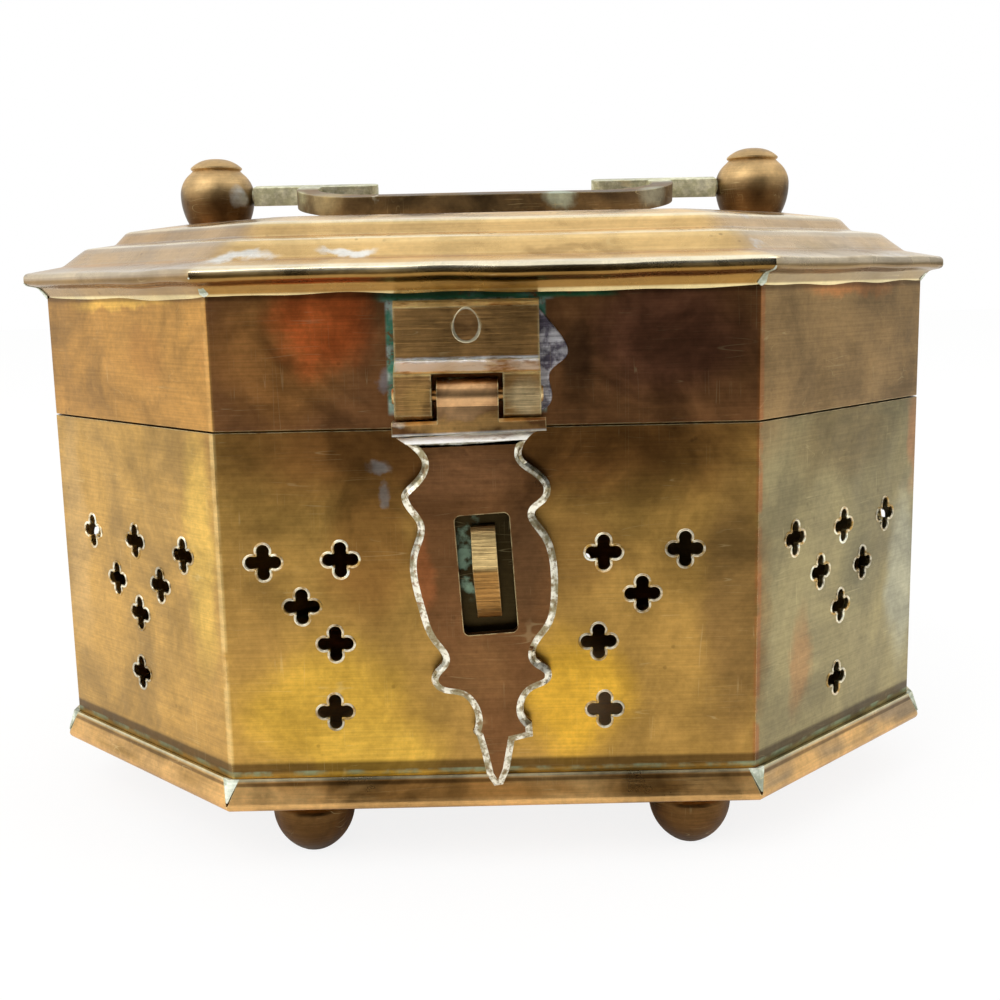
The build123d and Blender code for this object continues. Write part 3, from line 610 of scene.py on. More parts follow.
def hole_rims(material):
    """Burr round each hole: a round bead along its four lobes.

    Bead point = centre + along * a(t) + up * b(t) + radius (cos p * normal in the plane + sin p * outward),
    where a and b run round each lobe's arc.
    """
    holes = hole_centres()
    quarter = np.arange(4) * pi / 2
    t = np.radians(np.linspace(-LOBE_TURN, LOBE_TURN, 15))
    turn = (quarter[:, None] + t[None, :]).ravel()
    lobe = np.repeat(quarter, len(t))
    a = LOBE_OUT * np.cos(lobe) + LOBE_RADIUS * np.cos(turn)
    b = LOBE_OUT * np.sin(lobe) + LOBE_RADIUS * np.sin(turn)
    p = np.linspace(0, 2 * pi, 8, endpoint=False)
    flat = BURR_RADIUS * np.cos(p)
    a = a[:, None] + np.cos(turn)[:, None] * flat
    b = b[:, None] + np.sin(turn)[:, None] * flat
    proud = np.broadcast_to(BURR_RADIUS * np.sin(p) - BURR_SUNK, a.shape)
    up = np.array([0.0, 0.0, 1.0])
    zero = np.zeros((len(holes), 1))
    outward_way = np.concatenate([holes[:, 3:5], zero], axis=1)
    along = np.concatenate([holes[:, 5:7], zero], axis=1)
    points = (
        holes[:, None, None, :3] + a[None, ..., None] * along[:, None, None, :] + b[None, ..., None] * up
        + proud[None, ..., None] * outward_way[:, None, None, :]
    )
    ring = np.array(grid_faces(*a.shape, wrap_rows=True, wrap_columns=True))
    faces = (ring[None] + np.arange(len(holes))[:, None, None] * a.size).reshape(-1, 4)
    piece = new_piece("hole_rims", points.reshape(-1, 3) * MM, faces.tolist(), material, "body_wall")
    outward(piece, 0.0)
    return piece


def egg_rivet(material):
    """The leaf's filed rivet head, an egg pointed upward: x = a cos t (1 - 0.2 sin t), z = b sin t.

    It is domed in y by its share of the radius, and closed behind the leaf's face.
    """
    half_across, half_up, egg = 2.15 * MM, 2.75 * MM, 0.2
    low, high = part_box("hasp_rivet")
    middle = (low + high) / 2
    t = np.linspace(0, 2 * pi, 64, endpoint=False)
    shares = np.array([0.05, 0.3, 0.55, 0.78, 0.9, 0.97, 1.0, 1.0, 0.05])
    depths = np.array([0.10, 0.10, 0.09, 0.06, 0.03, 0.07, 0.03, -0.5, -0.5]) * MM
    x = half_across * np.cos(t) * (1 - egg * np.sin(t))
    z = half_up * np.sin(t)
    points = np.empty((len(shares), len(t), 3))
    points[..., 0] = middle.x + shares[:, None] * x
    points[..., 1] = low.y - depths[:, None]
    points[..., 2] = middle.z + shares[:, None] * z
    count = len(t)
    last = (len(shares) - 1) * count
    faces = grid_faces(len(shares), count, wrap_columns=True)
    faces += [list(range(count)), list(range(last + count - 1, last - 1, -1))]
    piece = new_piece("hasp_rivet_head", points.reshape(-1, 3), faces, material, "hasp_rivet")
    outward(piece)
    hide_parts("hasp_rivet")
    return piece


def dress(node, material):
    """Puts one material on every slot of a CAD node."""
    slots = NODES[node].material_slots
    if not slots:
        NODES[node].data.materials.append(material)
    for slot in slots:
        slot.material = material


def grid_faces(rows, columns, wrap_rows=False, wrap_columns=False):
    """Quads between the points of a grid stored row by row."""
    i = np.arange(rows if wrap_rows else rows - 1)[:, None]
    j = np.arange(columns if wrap_columns else columns - 1)[None, :]
    a = i * columns + j
    b = i * columns + (j + 1) % columns
    c = ((i + 1) % rows) * columns + (j + 1) % columns
    d = ((i + 1) % rows) * columns + j
    return np.stack([a, b, c, d], axis=-1).reshape(-1, 4).tolist()


def rounded_path(points, radii, steps=6):
    """Polyline whose inner corners are arcs of the given radii, tangent to both runs."""
    points = [Vector(p) for p in points]
    path = [points[0]]
    for before, corner, after, radius in zip(points, points[1:], points[2:], radii):
        to_before = (before - corner).normalized()
        to_after = (after - corner).normalized()
        half = to_before.angle(to_after) / 2
        reach = radius / tan(half)
        start, end = corner + to_before * reach, corner + to_after * reach
        centre = corner + (to_before + to_after).normalized() * (radius / sin(half))
        turn = np.linspace(0, 1, steps)
        a, b = start - centre, end - centre
        sweep = a.angle(b)
        path += [centre + (a * sin((1 - t) * sweep) + b * sin(t * sweep)) / sin(sweep) for t in turn]
    path.append(points[-1])
    return np.array([p[:] for p in path])


def ripple(s, length, seed, waves=7):
    """Smooth random wave of unit size along a closed path, a sum of whole sine waves."""
    rng = np.random.default_rng(seed)
    counts = rng.integers(2, 30, waves)
    phases = rng.uniform(0, 2 * pi, waves)
    sizes = rng.uniform(0.4, 1.0, waves) / np.sqrt(counts)
    wave = (sizes[:, None] * np.sin(2 * pi * counts[:, None] * s[None, :] / length + phases[:, None])).sum(0)
    return wave / np.abs(wave).max()


def plan_path(spacing=2.0):
    """Points round the octagonal plan of the wall with the direction in which an offset moves each."""
    x, y, run = HALF_WIDTH, HALF_DEPTH, CHAMFER_RUN
    corners = np.array([
        (x - run, -y), (x, run - y), (x, y - run), (x - run, y),
        (run - x, y), (-x, y - run), (-x, run - y), (run - x, -y),
    ])
    following = np.roll(corners, -1, axis=0)
    sides = following - corners
    lengths = np.linalg.norm(sides, axis=1)
    normals = np.stack([sides[:, 1], -sides[:, 0]], axis=1) / lengths[:, None]
    bisectors = normals + np.roll(normals, 1, axis=0)
    bisectors /= (bisectors * normals).sum(1)[:, None]
    places, directions = [], []
    for corner, side, length, start, end in zip(
        corners, sides, lengths, bisectors, np.roll(bisectors, -1, axis=0)
    ):
        t = np.linspace(0, 1, max(2, round(length / spacing)), endpoint=False)[:, None]
        places.append(corner + t * side)
        directions.append(start + t * (end - start))
    places, directions = np.concatenate(places), np.concatenate(directions)
    steps = np.linalg.norm(np.roll(places, -1, axis=0) - places, axis=1)
    return places, directions, np.concatenate([[0], np.cumsum(steps)[:-1]]), steps.sum()


# Lid top in millimetres out of the wall and over its top edge, from the crown to the cove's foot, and the
# radius of each corner between
LID_PROFILE = (
    (-25.4, 9.7), (-22.4, 9.7), (-13.0, 8.4), (-10.9, 6.1), (-5.9, 5.4), (-2.3, 2.3),
    (3.63, 1.1), (3.63, -0.8), (1.4, -1.3), (0.07, -3.3),
)
LID_ROLLS = (4.0, 2.0, 1.0, 2.2, 1.4, 0.9, 0.75, 1.2)
LID_SHEET = 0.8
COVE_DROP = 3.3

# Ripples of the lid top as shares of the wobble, each with the share that holds it inside the true
# profile, and the flutter of its cut edge in millimetres
SWAY, SWAY_HELD = 0.45, 0.55
LIFT, LIFT_HELD = 0.8, 0.4
FLUTTER = 0.35


def lid_top_surface(wobble):
    """The lid top: its pressed profile carried round the plan, with ripples outward and upward.

    The outer run of the profile goes from the crown out to the nose and down the cove. The inner run
    comes back one sheet inside it. Point = place + out * direction, with out and height from the profile
    plus waves that grow towards the nose, and a flutter of the cove's cut edge. Over the crown, the
    corners of the plan are rounded by averaging neighbours along it.
    """
    outer = rounded_path(LID_PROFILE, LID_ROLLS)
    along = np.gradient(outer, axis=0)
    normal = np.stack([-along[:, 1], along[:, 0]], axis=1)
    normal /= np.linalg.norm(normal, axis=1)[:, None]
    inner = (outer - LID_SHEET * normal)[::-1]
    profile = np.concatenate([outer, inner])
    reach = np.clip((profile[:, 0] + 22) / 25, 0, 1) ** 1.5
    places, directions, s, length = plan_path()
    sway = ripple(s, length, 3)
    lift = ripple(s, length, 8)
    flutter = ripple(s, length, 21, waves=16)
    amount = wobble / MM
    out = profile[None, :, 0] + amount * reach[None, :] * (SWAY * sway[:, None] - SWAY_HELD)
    foot = np.clip(-profile[:, 1] / COVE_DROP, 0, 1)
    high = profile[None, :, 1] + amount * reach[None, :] * (LIFT * lift[:, None] - LIFT_HELD)
    high = high + FLUTTER * foot[None, :] ** 3 * flutter[:, None]
    points = np.empty((len(places), len(profile), 3))
    points[..., 0] = places[:, None, 0] + out * directions[:, None, 0]
    points[..., 1] = places[:, None, 1] + out * directions[:, None, 1]
    points[..., 2] = LID_EDGE + high
    blurred = points.copy()
    for _ in range(4):
        blurred = (np.roll(blurred, 1, axis=0) + 2 * blurred + np.roll(blurred, -1, axis=0)) / 4
    soft = np.clip((1.0 - profile[:, 0]) / 6, 0, 1)[None, :, None]
    points[..., :2] += (soft * (blurred - points))[..., :2]
    faces = grid_faces(len(places), len(profile), wrap_rows=True, wrap_columns=True)
    top = [i * len(profile) for i in range(len(places))]
    under = [i * len(profile) + len(profile) - 1 for i in range(len(places))]
    faces = [f for f in faces if f[0] % len(profile) != len(profile) - 1]
    return points.reshape(-1, 3) * MM, faces + [top, under[::-1]]


# Tints


def sector_masks(paint, soft):
    """Masks of the right and the left third of the plan, cut along the mitre lines, soft metres wide."""
    x, y = paint.axis("X"), paint.axis("Y")
    start = (FRONT_HALF - MITRE * HALF_DEPTH) * MM
    reach = paint.math("MULTIPLY_ADD", paint.math("ABSOLUTE", y), MITRE, start)
    right = paint.step(paint.math("SUBTRACT", x, reach), -soft, soft)
    left = paint.step(paint.math("MULTIPLY_ADD", x, -1.0, paint.math("MULTIPLY", reach, -1.0)), -soft, soft)
    return right, left


def three_sides(paint, front, left, right, soft=0.3 * MM):
    """One colour for the front and the rear, and one for each third of the plan beside them."""
    right_mask, left_mask = sector_masks(paint, soft)
    return paint.mix(right_mask, paint.mix(left_mask, front, srgb(left)), srgb(right))


def corner_lines(paint, colour, left, right):
    """Lines down the two front corners of a wall: a painted highlight down the left one, and a line of a
    given colour down the right one.
    """
    front = paint.times(paint.past("Y", -50.8, -51.5), paint.ragged(0.005, 0.3, 0.5, detail=4))
    left_highlight = paint.times(paint.band("X", -FRONT_HALF - 0.2, 0.3, 0.5), front, 0.5)
    right_line = paint.times(paint.band("X", FRONT_HALF + 0.2, 0.3, 0.6), front, 0.7)
    return paint.mix(right_line, paint.mix(left_highlight, colour, srgb(left)), srgb(right))


def wall_tint(paint, colours):
    """Pierced wall: gold low down and brown under the seam as painted reflection and shade, olive on the
    right, and near-black painted shade behind the hasp's slot.
    """
    colour = three_sides(paint, colours.wall, "BF9650", "978A62")
    colour = paint.patches(colour, (
        # Front: painted shade and reflection, brown under the seam and beside the hasp, and gold over the
        # pan as painted reflection of the bright floor near it
        ("84592E", (0, -52, 71), (62, 14, 15), 0.95),
        ("8A6030", (-19, -52, 54), (9, 8, 18), 0.75),
        ("D6AA42", (-26, -52, 27), (19, 8, 15), 0.85),
        ("F6C552", (-19, -52, 20), (14, 8, 8), 0.85),
        ("EBB63E", (13, -52, 29), (12, 8, 14), 0.9),
        ("8E6D3E", (39, -52, 42), (8, 8, 30), 0.9),
        ("7E5C30", (14, -52, 52), (10, 8, 10), 0.6),
        ("A37D43", (-38, -52, 45), (6, 8, 18), 0.5),
        # Left chamfer: a painted highlight beside the front corner, pale at its far edge
        ("E6BC5C", (-46, -48, 52), (5, 6, 26), 0.8),
        ("C9A468", (-76, -20, 52), (5, 8, 30), 0.6),
        # Right chamfer: olive, pale at its far edge, with two orange stains
        ("8A774F", (60, -34, 68), (22, 22, 10), 0.8),
        ("837A58", (64, -30, 44), (8, 8, 14), 0.7),
        ("B0AC92", (76, -18, 40), (6, 10, 22), 0.8),
        ("B4845A", (78, -15, 66), (3, 5, 14), 0.8),
        ("B07A4A", (52, -43, 30), (4, 5, 12), 0.5),
        # Grey smears left of the hasp's waist
        ("A8A6A2", (-17.5, -52, 66), (2.6, 4, 1.6), 0.7),
        ("A09E9A", (-17.0, -52, 62), (1.6, 4, 2.0), 0.6),
    ))
    # Painted highlight down the front's left corner, and a line down its right corner
    colour = corner_lines(paint, colour, "F2D088", "A86B3C")
    seam = paint.band("Z", SEAM, 0.1, 0.5)
    colour = paint.mix(paint.times(seam, 0.7), colour, colours.umber)
    # Near-black painted shade and a green stain on the wall where the hasp's slot lies over it
    front = paint.past("Y", -50.5, -51.2)
    behind = paint.times(paint.band("X", -0.6, 5.4, 4), paint.band("Z", 49.3, 11.2, 6))
    frayed = paint.math("ADD", behind, paint.times(paint.noise(0.003, detail=4), 0.5))
    slot_shade = paint.times(paint.step(frayed, 0.5, 1.1), front, 0.93)
    colour = paint.mix(slot_shade, colour, srgb("1C1C14"))
    stain = paint.times(paint.band("X", -3.6, 1.2, 1.2), paint.band("Z", 52, 5, 3), front)
    stained = paint.times(stain, paint.ragged(0.003, 0.38, 0.55, detail=4), 0.8)
    colour = paint.mix(stained, colour, srgb("93B096"))
    # Dark line and pale grime over the pan's rim
    colour = paint.mix(paint.times(paint.band("Z", 17.2, 0.5, 0.8), 0.75), colour, colours.umber)
    grime = paint.ragged(0.004, 0.42, 0.62, detail=4)
    return paint.mix(paint.times(paint.band("Z", 16.3, 0.25, 0.3), grime, 0.7), colour, srgb("8A9A7C"))


def rim_tint(paint, colours):
    return paint.mix(paint.ragged(0.002, 0.36, 0.6, detail=4), srgb("B8934E"), srgb("F8F0D6"))


def lid_wall_tint(paint, colours):
    """Lid wall: brown with an orange glow left of the leaf, verdigris round the leaf and over it."""
    colour = three_sides(paint, colours.lid, "BA8A46", "9C7E52")
    colour = paint.patches(colour, (
        # Front: the glow, and purple brown right of the leaf
        ("BE8448", (-32, -52, 84), (14, 14, 14), 0.8),
        ("F27A3C", (-25, -52, 88), (10, 8, 9), 0.85),
        ("8E5C46", (28, -52, 86), (16, 8, 12), 0.7),
        # Chamfers: bright under the cornice, darker beside the front corner
        ("F2C05A", (-60, -34, 93), (20, 20, 2.0), 0.8),
        ("A8763A", (-56, -38, 84), (8, 8, 6), 0.5),
        ("C98A50", (62, -33, 93), (20, 20, 3), 0.9),
        # Grey film left of the leaf and a shadow right of it
        ("A09EA0", (-15.5, -52, 80), (1.6, 5, 3), 0.7),
        ("3A2A20", (13.5, -52, 84), (4, 5, 7), 0.6),
    ))
    # Painted highlight down the front's left corner, and a line down its right corner
    colour = corner_lines(paint, colour, "D9A860", "A86B3C")
    # Pale green crust beside the leaf and along its top
    front = paint.past("Y", -50.8, -51.5)
    crust = paint.ragged(0.0016, 0.36, 0.5, detail=5, rough=0.7)
    sides = paint.math("ADD", paint.band("X", -14.3, 0.5, 0.5), paint.band("X", 8.9, 0.3, 0.5))
    sides = paint.times(sides, paint.band("Z", 84, 9, 1))
    over = paint.times(paint.band("Z", 92.3, 0.4, 0.5), paint.band("X", -2.7, 12, 2))
    crusted = paint.times(paint.math("MAXIMUM", sides, over), crust, front)
    pale_green = paint.mix(paint.ragged(0.003, 0.4, 0.6), srgb("5FA588"), srgb("CFE0D6"))
    colour = paint.mix(crusted, colour, pale_green)
    # Verdigris and shade under the cornice
    green = paint.times(paint.band("Z", LID_EDGE - 3.6, 0.3, 0.7), paint.past("Y", -51, -51.5))
    green = paint.times(green, paint.band("X", 2, 16, 4), paint.ragged(0.003, 0.34, 0.5, detail=4))
    colour = paint.mix(green, colour, colours.verdigris)
    shade = paint.band("Z", LID_EDGE - 2.6, 0.9, 0.8)
    return paint.mix(paint.times(shade, 0.6), colour, colours.umber)


def lid_top_tint(paint, colours):
    """Bands by height over the lid wall's top edge, as the pressed steps catch the light."""
    colour = three_sides(paint, colours.top, "BCA78A", "CDBB9E", 3 * MM)
    colour = paint.bands(colour, (
        (LID_EDGE + 9.7, 0.15, 0.25, "DDC0A8", 0.45),
        (LID_EDGE + 8.9, 0.25, 0.25, "E8BE74", 0.6),
        (LID_EDGE + 8.3, 0.12, 0.25, "FFF3D0", 0.7),
        (LID_EDGE + 6.9, 0.5, 0.5, "C29A60", 0.55),
        (LID_EDGE + 5.5, 0.12, 0.2, "FFF3D0", 0.75),
        (LID_EDGE + 3.6, 0.6, 0.7, "C9A060", 0.45),
        (LID_EDGE + 2.3, 0.1, 0.3, "C0955C", 0.6),
    ))
    cornice = three_sides(paint, srgb("A07A40"), "A88A5E", "9E8862", 1 * MM)
    colour = paint.mix(paint.past("Z", LID_EDGE + 0.2, LID_EDGE - 0.2), colour, cornice)
    # Painted highlight over the nose at the front, painted shade under it, bright cut edge at the cove's
    # foot
    right, left = sector_masks(paint, 1 * MM)
    front = paint.math("MULTIPLY_ADD", paint.math("ADD", right, left), -0.75, 1.0)
    nose = paint.times(paint.band("Z", LID_EDGE + 0.85, 0.35, 0.3), front)
    colour = paint.mix(nose, colour, srgb("FFF4D4"))
    colour = paint.bands(colour, ((LID_EDGE - 0.8, 0.35, 0.4, "80602F", 0.6),))
    foot = paint.past("Z", LID_EDGE - 2.7, LID_EDGE - 3.1)
    colour = paint.mix(paint.times(foot, 0.8), colour, colours.bright)
    # Rows of pits along the steps, and broad brown clouds
    pitted = paint.times(paint.step(paint.cells(0.0014), 0.35, 0.15), paint.ragged(0.006, 0.5, 0.6))
    upper, lower = paint.band("Z", LID_EDGE + 9.2, 0.2, 0.2), paint.band("Z", LID_EDGE + 5.9, 0.2, 0.3)
    rows = paint.math("ADD", upper, lower)
    colour = paint.mix(paint.times(pitted, rows, 0.8), colour, srgb("4A3216"))
    shallow = paint.ragged(0.014, 0.5, 0.66, detail=4, stretch=(5, 5, 1))
    colour = paint.mix(paint.times(shallow, 0.3), colour, srgb("A27C4A"))
    return paint.patches(colour, (
        # Silvery rubs on the lower step, at the left and by the right corner
        ("EAE8E0", (-37, -49.0, 99.5), (9, 3.5, 1.5), 0.95),
        ("EAE8E0", (-21, -49.0, 99.6), (6.5, 3.5, 1.3), 0.95),
        ("DAD6D0", (41, -33, 105.6), (7, 6, 1.0), 0.8),
        ("DAD6D0", (44, -47, 100.6), (3, 3, 1.0), 0.8),
        # Brown on the right chamfer and in the front's middle
        ("A8926C", (64, -36, 98.4), (22, 22, 2.2), 0.7),
        ("8E6E44", (10, -49.5, 100), (18, 3, 1.4), 0.4),
    ))


def pan_tint(paint, colours):
    """Base pan: a pale top edge, a dark line of painted shade under it, and a painted highlight on the
    rolled fold low down.
    """
    colour = three_sides(paint, colours.base, "AE884C", "A28A68")
    clouds = paint.ragged(0.012, 0.5, 0.64, detail=3, stretch=(3, 3, 1))
    colour = paint.mix(clouds, colour, srgb("DDB070"))
    colour = paint.mix(paint.times(paint.past("Z", 15.2, 15.6), 0.8), colour, srgb("D4CFAE"))
    # Painted shade under the pale top edge
    under = paint.band("Z", 14.9, 0.15, 0.25)
    colour = paint.mix(paint.times(under, 0.6), colour, colours.umber)
    # Painted highlight on the rolled fold low down
    return paint.mix(paint.times(paint.past("Z", 12.6, 11.6), 0.8), colour, srgb("D9AC6E"))


def leaf_tint(paint, colours):
    """Leaf on the lid: painted highlights along its top edge and on the slope over the blocks, and bright
    blocks.
    """
    colour = paint.patches(colours.leaf, (
        ("C99E5C", (-11.5, -58, 76.5), (4, 4, 4), 0.8),
        ("E4CC9A", (6.5, -58, 77), (4, 4, 4), 0.8),
        ("DDBB88", (5, -58, 87), (7, 4, 6), 0.6),
    ))
    # Bands of painted highlight by height: the top edge, the white slope over the blocks with a gold line
    # under it, and a gold line low down
    return paint.bands(colour, (
        (91.3, 0.45, 0.3, "FFE9A8", 1.0),
        (81.0, 0.25, 0.35, "FFD98A", 0.8),
        (82.2, 0.8, 0.35, "FFFFFF", 1.0),
        (73.9, 0.3, 0.4, "F3CF85", 0.6),
    ), paint.ragged(0.0012, 0.3, 0.5, detail=5, stretch=(4, 4, 1)))


def rivet_tint(paint, colours):
    """Dark egg with a pale outline."""
    low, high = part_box("hasp_rivet")
    away = paint.vector_math("SUBTRACT", paint.vector, (low + high) / 2)
    scaled = paint.vector_math("DIVIDE", away, (2.1 * MM, 1.0, 2.7 * MM))
    rim = paint.step(paint.vector_math("LENGTH", scaled), 0.84, 0.94)
    return paint.mix(rim, srgb("A0784A"), srgb("F0E6C4"))


def hasp_tint(paint, colours):
    """Hasp: bright knuckle and bar, brown plate, and a near-white painted highlight along the cove between
    them.
    """
    colour = paint.patches(colours.hasp, (
        # Knuckle, its green top, the bar and the bar's pale left end
        ("E3B480", (-2.7, -58, 76.5), (7, 4, 4), 0.8),
        ("E8F2EA", (-2.7, -57.5, 80.0), (5, 3, 0.7), 0.8),
        ("DDAC68", (-2.7, -57.5, 72.8), (14, 4, 1.9), 0.95),
        ("F2F0E4", (-13.0, -57.5, 72.8), (2, 3, 1.4), 0.8),
        # Plate: waist, copper left belly, dark right belly, lower part
        ("926642", (-2.7, -55, 65), (12, 4, 5), 0.8),
        ("A9653A", (-11.5, -55, 50), (3, 4, 14), 0.6),
        ("58402A", (5.5, -55, 50), (5, 4, 14), 0.6),
        ("86603A", (-1.5, -55, 33), (8, 4, 7), 0.6),
    ))
    # Painted highlight along the cove under the bar, broken by noise
    level = paint.math("MULTIPLY_ADD", paint.axis("X"), -HASP_RISE, paint.axis("Z"))
    away = paint.math("ABSOLUTE", paint.math("SUBTRACT", level, COVE_MIDDLE * MM))
    broken = paint.step(paint.noise(0.001, detail=5, stretch=(4, 4, 1)), 0.28, 0.46, 0.3, 1.0)
    cove = paint.times(paint.step(away, 1.2 * MM, 0.7 * MM), broken)
    return paint.mix(cove, colour, srgb("FFFFFA"))


def staple_tint(paint, colours):
    # Upper half lighter than the lower: painted light and shade on the staple's two facets, the upper one
    # facing up and the lower one facing down
    return paint.mix(paint.past("Z", 50.5, 51.5), srgb("A67C44"), srgb("CCB078"))


def post_tint(paint, colours):
    """Posts: bright shoulders over dark bellies as painted reflection, and painted shade on their sides and
    where the handle's arms enter.
    """
    # Painted reflection: bright shoulders above, the dark posts colour below
    colour = paint.mix(paint.past("Z", 109.5, 113.5), colours.posts, srgb("BFA070"))
    return paint.patches(colour, (
        # Painted shade on the inner and outer sides, with a grey rub on the left post
        ("4E3C24", (-43.5, 0, 110), (2.5, 6, 6), 0.8),
        ("BDBDB6", (-44.5, -4.5, 111.5), (2.2, 3, 2.6), 0.8),
        ("4A3C28", (44.5, 0, 111), (2.5, 6, 6), 0.8),
        ("5A482C", (-57.3, -2, 109), (2.4, 6, 6), 0.8),
        ("5A482C", (58.3, -2, 109), (2.4, 6, 6), 0.8),
    ))


def handle_tint(paint, colours):
    """Handle: pale grey-green arms, a brown grip with paler lobes and a few rubs."""
    arms = paint.past("Y", -8, -3)
    colour = paint.mix(arms, colours.handle, srgb("BEBE9C"))
    colour = paint.patches(colour, (
        # Left lobe, dark middle of the grip, rubs along it, right lobe
        ("A89468", (-29, -20, 110), (6, 8, 6), 0.9),
        ("B9B68E", (-34, -14, 110), (3, 8, 6), 0.8),
        ("3E3422", (0, -21, 108), (22, 4, 4), 0.6),
        ("544430", (24, -21, 110), (7, 4, 4), 0.7),
        ("B9C6B4", (13.5, -21, 110), (3.2, 4, 3), 0.8),
        ("D8D2B8", (-18.5, -21, 110), (0.5, 4, 3), 0.6),
        ("A5A48E", (31, -18, 110), (4, 6, 4), 0.7),
    ))
    grain = paint.ragged(0.0012, 0.4, 0.62, detail=5, rough=0.7)
    return paint.mix(paint.times(arms, grain, 0.6), colour, srgb("ECEAD4"))


def foot_tint(paint, colours):
    return colours.feet


def rear_hinge_tint(paint, colours):
    return colours.hinges


def pale_solder_tint(paint, colours):
    return paint.mix(paint.ragged(0.002, 0.4, 0.6, detail=4), srgb("A9B09A"), srgb("DDE2D2"))


def dull_solder_tint(paint, colours):
    return paint.mix(paint.ragged(0.002, 0.4, 0.6, detail=4), srgb("56505A"), srgb("A8A6A8"))


class TRINKET_OT_walls(bpy.types.Operator):
    """Finish the pierced wall, the lid wall and the base pan"""

    bl_idname = "trinket.walls"
    bl_label = "Walls and base"

    def execute(self, context):
        wall = metal(
            "Pierced wall", wall_tint, dents=0.4, brush=0.25, relief=0.12, marks=0.25, rough=(0.3, 0.42)
        )
        softened("body_wall", wall, 0.3 * MM)
        hole_rims(
            metal("Hole rims", rim_tint, tone=0.5, relief=0.3, marks=0.0, pits=0.2, rough=(0.3, 0.5))
        )
        lid = metal(
            "Lid wall", lid_wall_tint, dents=0.3, brush=0.3, relief=0.1, marks=0.3, rough=(0.3, 0.4)
        )
        softened("lid_wall", lid, 0.18 * MM)
        pan = metal("Base pan", pan_tint, dents=0.35, relief=0.3, brush=0.3, pits=0.3)
        sag(softened("base_pan", pan, 0.15 * MM), 14.5 * MM, 0.6 * MM)
        return {"FINISHED"}


class TRINKET_OT_lid_top(bpy.types.Operator):
    """Build the pressed lid top with its cornice"""

    bl_idname = "trinket.lid_top"
    bl_label = "Lid top"

    def execute(self, context):
        vertices, faces = lid_top_surface(context.scene.box_sizes.wobble)
        material = metal(
            "Lid top", lid_top_tint, tone=0.2, dents=0.5, relief=0.1, pits=0.5, rough=(0.18, 0.36),
            brush=0.2, marks=0.3,
        )
        piece = new_piece("lid_top_pressed", vertices, faces, material, "lid_top")
        outward(piece)
        piece.data.set_sharp_from_angle(angle=radians(LID_TOP_SHARP))
        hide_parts("lid_top")
        return {"FINISHED"}


class TRINKET_OT_fittings(bpy.types.Operator):
    """Finish the cast and turned fittings"""

    bl_idname = "trinket.fittings"
    bl_label = "Fittings"

    def execute(self, context):
        leaf = metal(
            "Hinge leaf", leaf_tint, brush=0.6, relief=0.4, wear=1.0, marks=0.5, width=0.7 * MM, pits=0.1
        )
        plate = metal("Hasp", hasp_tint, brush=0.3, relief=0.2, marks=0.2, filed=True)
        staple = metal("Staple", staple_tint, brush=1.0, relief=0.6, marks=0.5)
        dark = metal("Dark bronze", foot_tint, relief=0.4, wear=0.4)
        post = metal("Posts", post_tint, relief=0.3, wear=0.5, brush=0.3, rough=(0.34, 0.55))
        handle = metal(
            "Handle", handle_tint, relief=0.6, wear=0.5, tone=0.5, rough=(0.35, 0.6), brush=0.15,
            marks=0.6, shine=0.75,
        )
        rear = metal("Rear hinges", rear_hinge_tint, relief=0.5, brush=0.6)
        dress("hasp_leaf", leaf)
        filed_hasp(plate)
        egg_rivet(metal("Rivet", rivet_tint, relief=0.4, brush=0.4))
        softened("staple", staple)
        softened("handle", handle, 0.4 * MM, 3)
        for node in NODES:
            if node.startswith("foot"):
                dress(node, dark)
            elif node.startswith("handle_post"):
                dress(node, post)
            elif node == "hasp_pin":
                dress(node, leaf)
            elif node.startswith("hinge") and node.endswith("leaf"):
                softened(node, rear, 0.2 * MM)
            elif node.startswith("hinge"):
                dress(node, rear)
        return {"FINISHED"}


class TRINKET_OT_solder(bpy.types.Operator):
    """Finish the solder in the corner notches and beside the hasp's leaf"""

    bl_idname = "trinket.solder"
    bl_label = "Solder"

    def execute(self, context):
        pale = metal(
            "Pale solder", pale_solder_tint, rough=(0.45, 0.7), relief=0.8, wear=0.2, marks=0.6, shine=0.6
        )
        dull = metal(
            "Dull solder", dull_solder_tint, rough=(0.4, 0.6), relief=1.0, wear=0.2, brush=1.0, marks=0.6,
            dents=1.2,
        )
        for node in ("base_corner_solder", "lid_corner_solder"):
            softened(node, pale, 0.15 * MM)
        softened("leaf_solder", dull, 0.25 * MM)
        return {"FINISHED"}


# Stage, in metres. Each light has its name, place, size and power, and each card its name, corners and shade
BOX_MIDDLE = (0, 0, 0.06)
LIGHTS = (
    ("key", (-0.55, -0.75, 0.85), 0.8, 6.0),
    ("fill", (0.9, -0.2, 0.8), 0.8, 2.5),
)
CARDS = (
    ("front_card", ((-0.3, -0.33, 0.0), (0.34, -0.33, 0.0), (0.34, -0.33, 0.42), (-0.3, -0.33, 0.42)), 0.02),
    ("right_card", ((0.6, -0.5, 0.0), (0.6, 0.5, 0.0), (0.6, 0.5, 0.6), (0.6, -0.5, 0.6)), 0.45),
)


def flat_quad(name, corners, material):
    """One flat sheet of the studio through its four corners."""
    mesh = bpy.data.meshes.new(name)
    mesh.from_pydata([Vector(c) for c in corners], [], [(0, 1, 2, 3)])
    mesh.materials.append(material)
    sheet = link(name, mesh)
    return sheet


def paper(name, colour):
    """A material of dull paper in a linear colour."""
    material, shader = new_material(name)
    shader.inputs["Base Color"].default_value = (*colour, 1)
    shader.inputs["Roughness"].default_value = 1.0
    shader.inputs["Specular IOR Level"].default_value = 0.0
    return material, shader


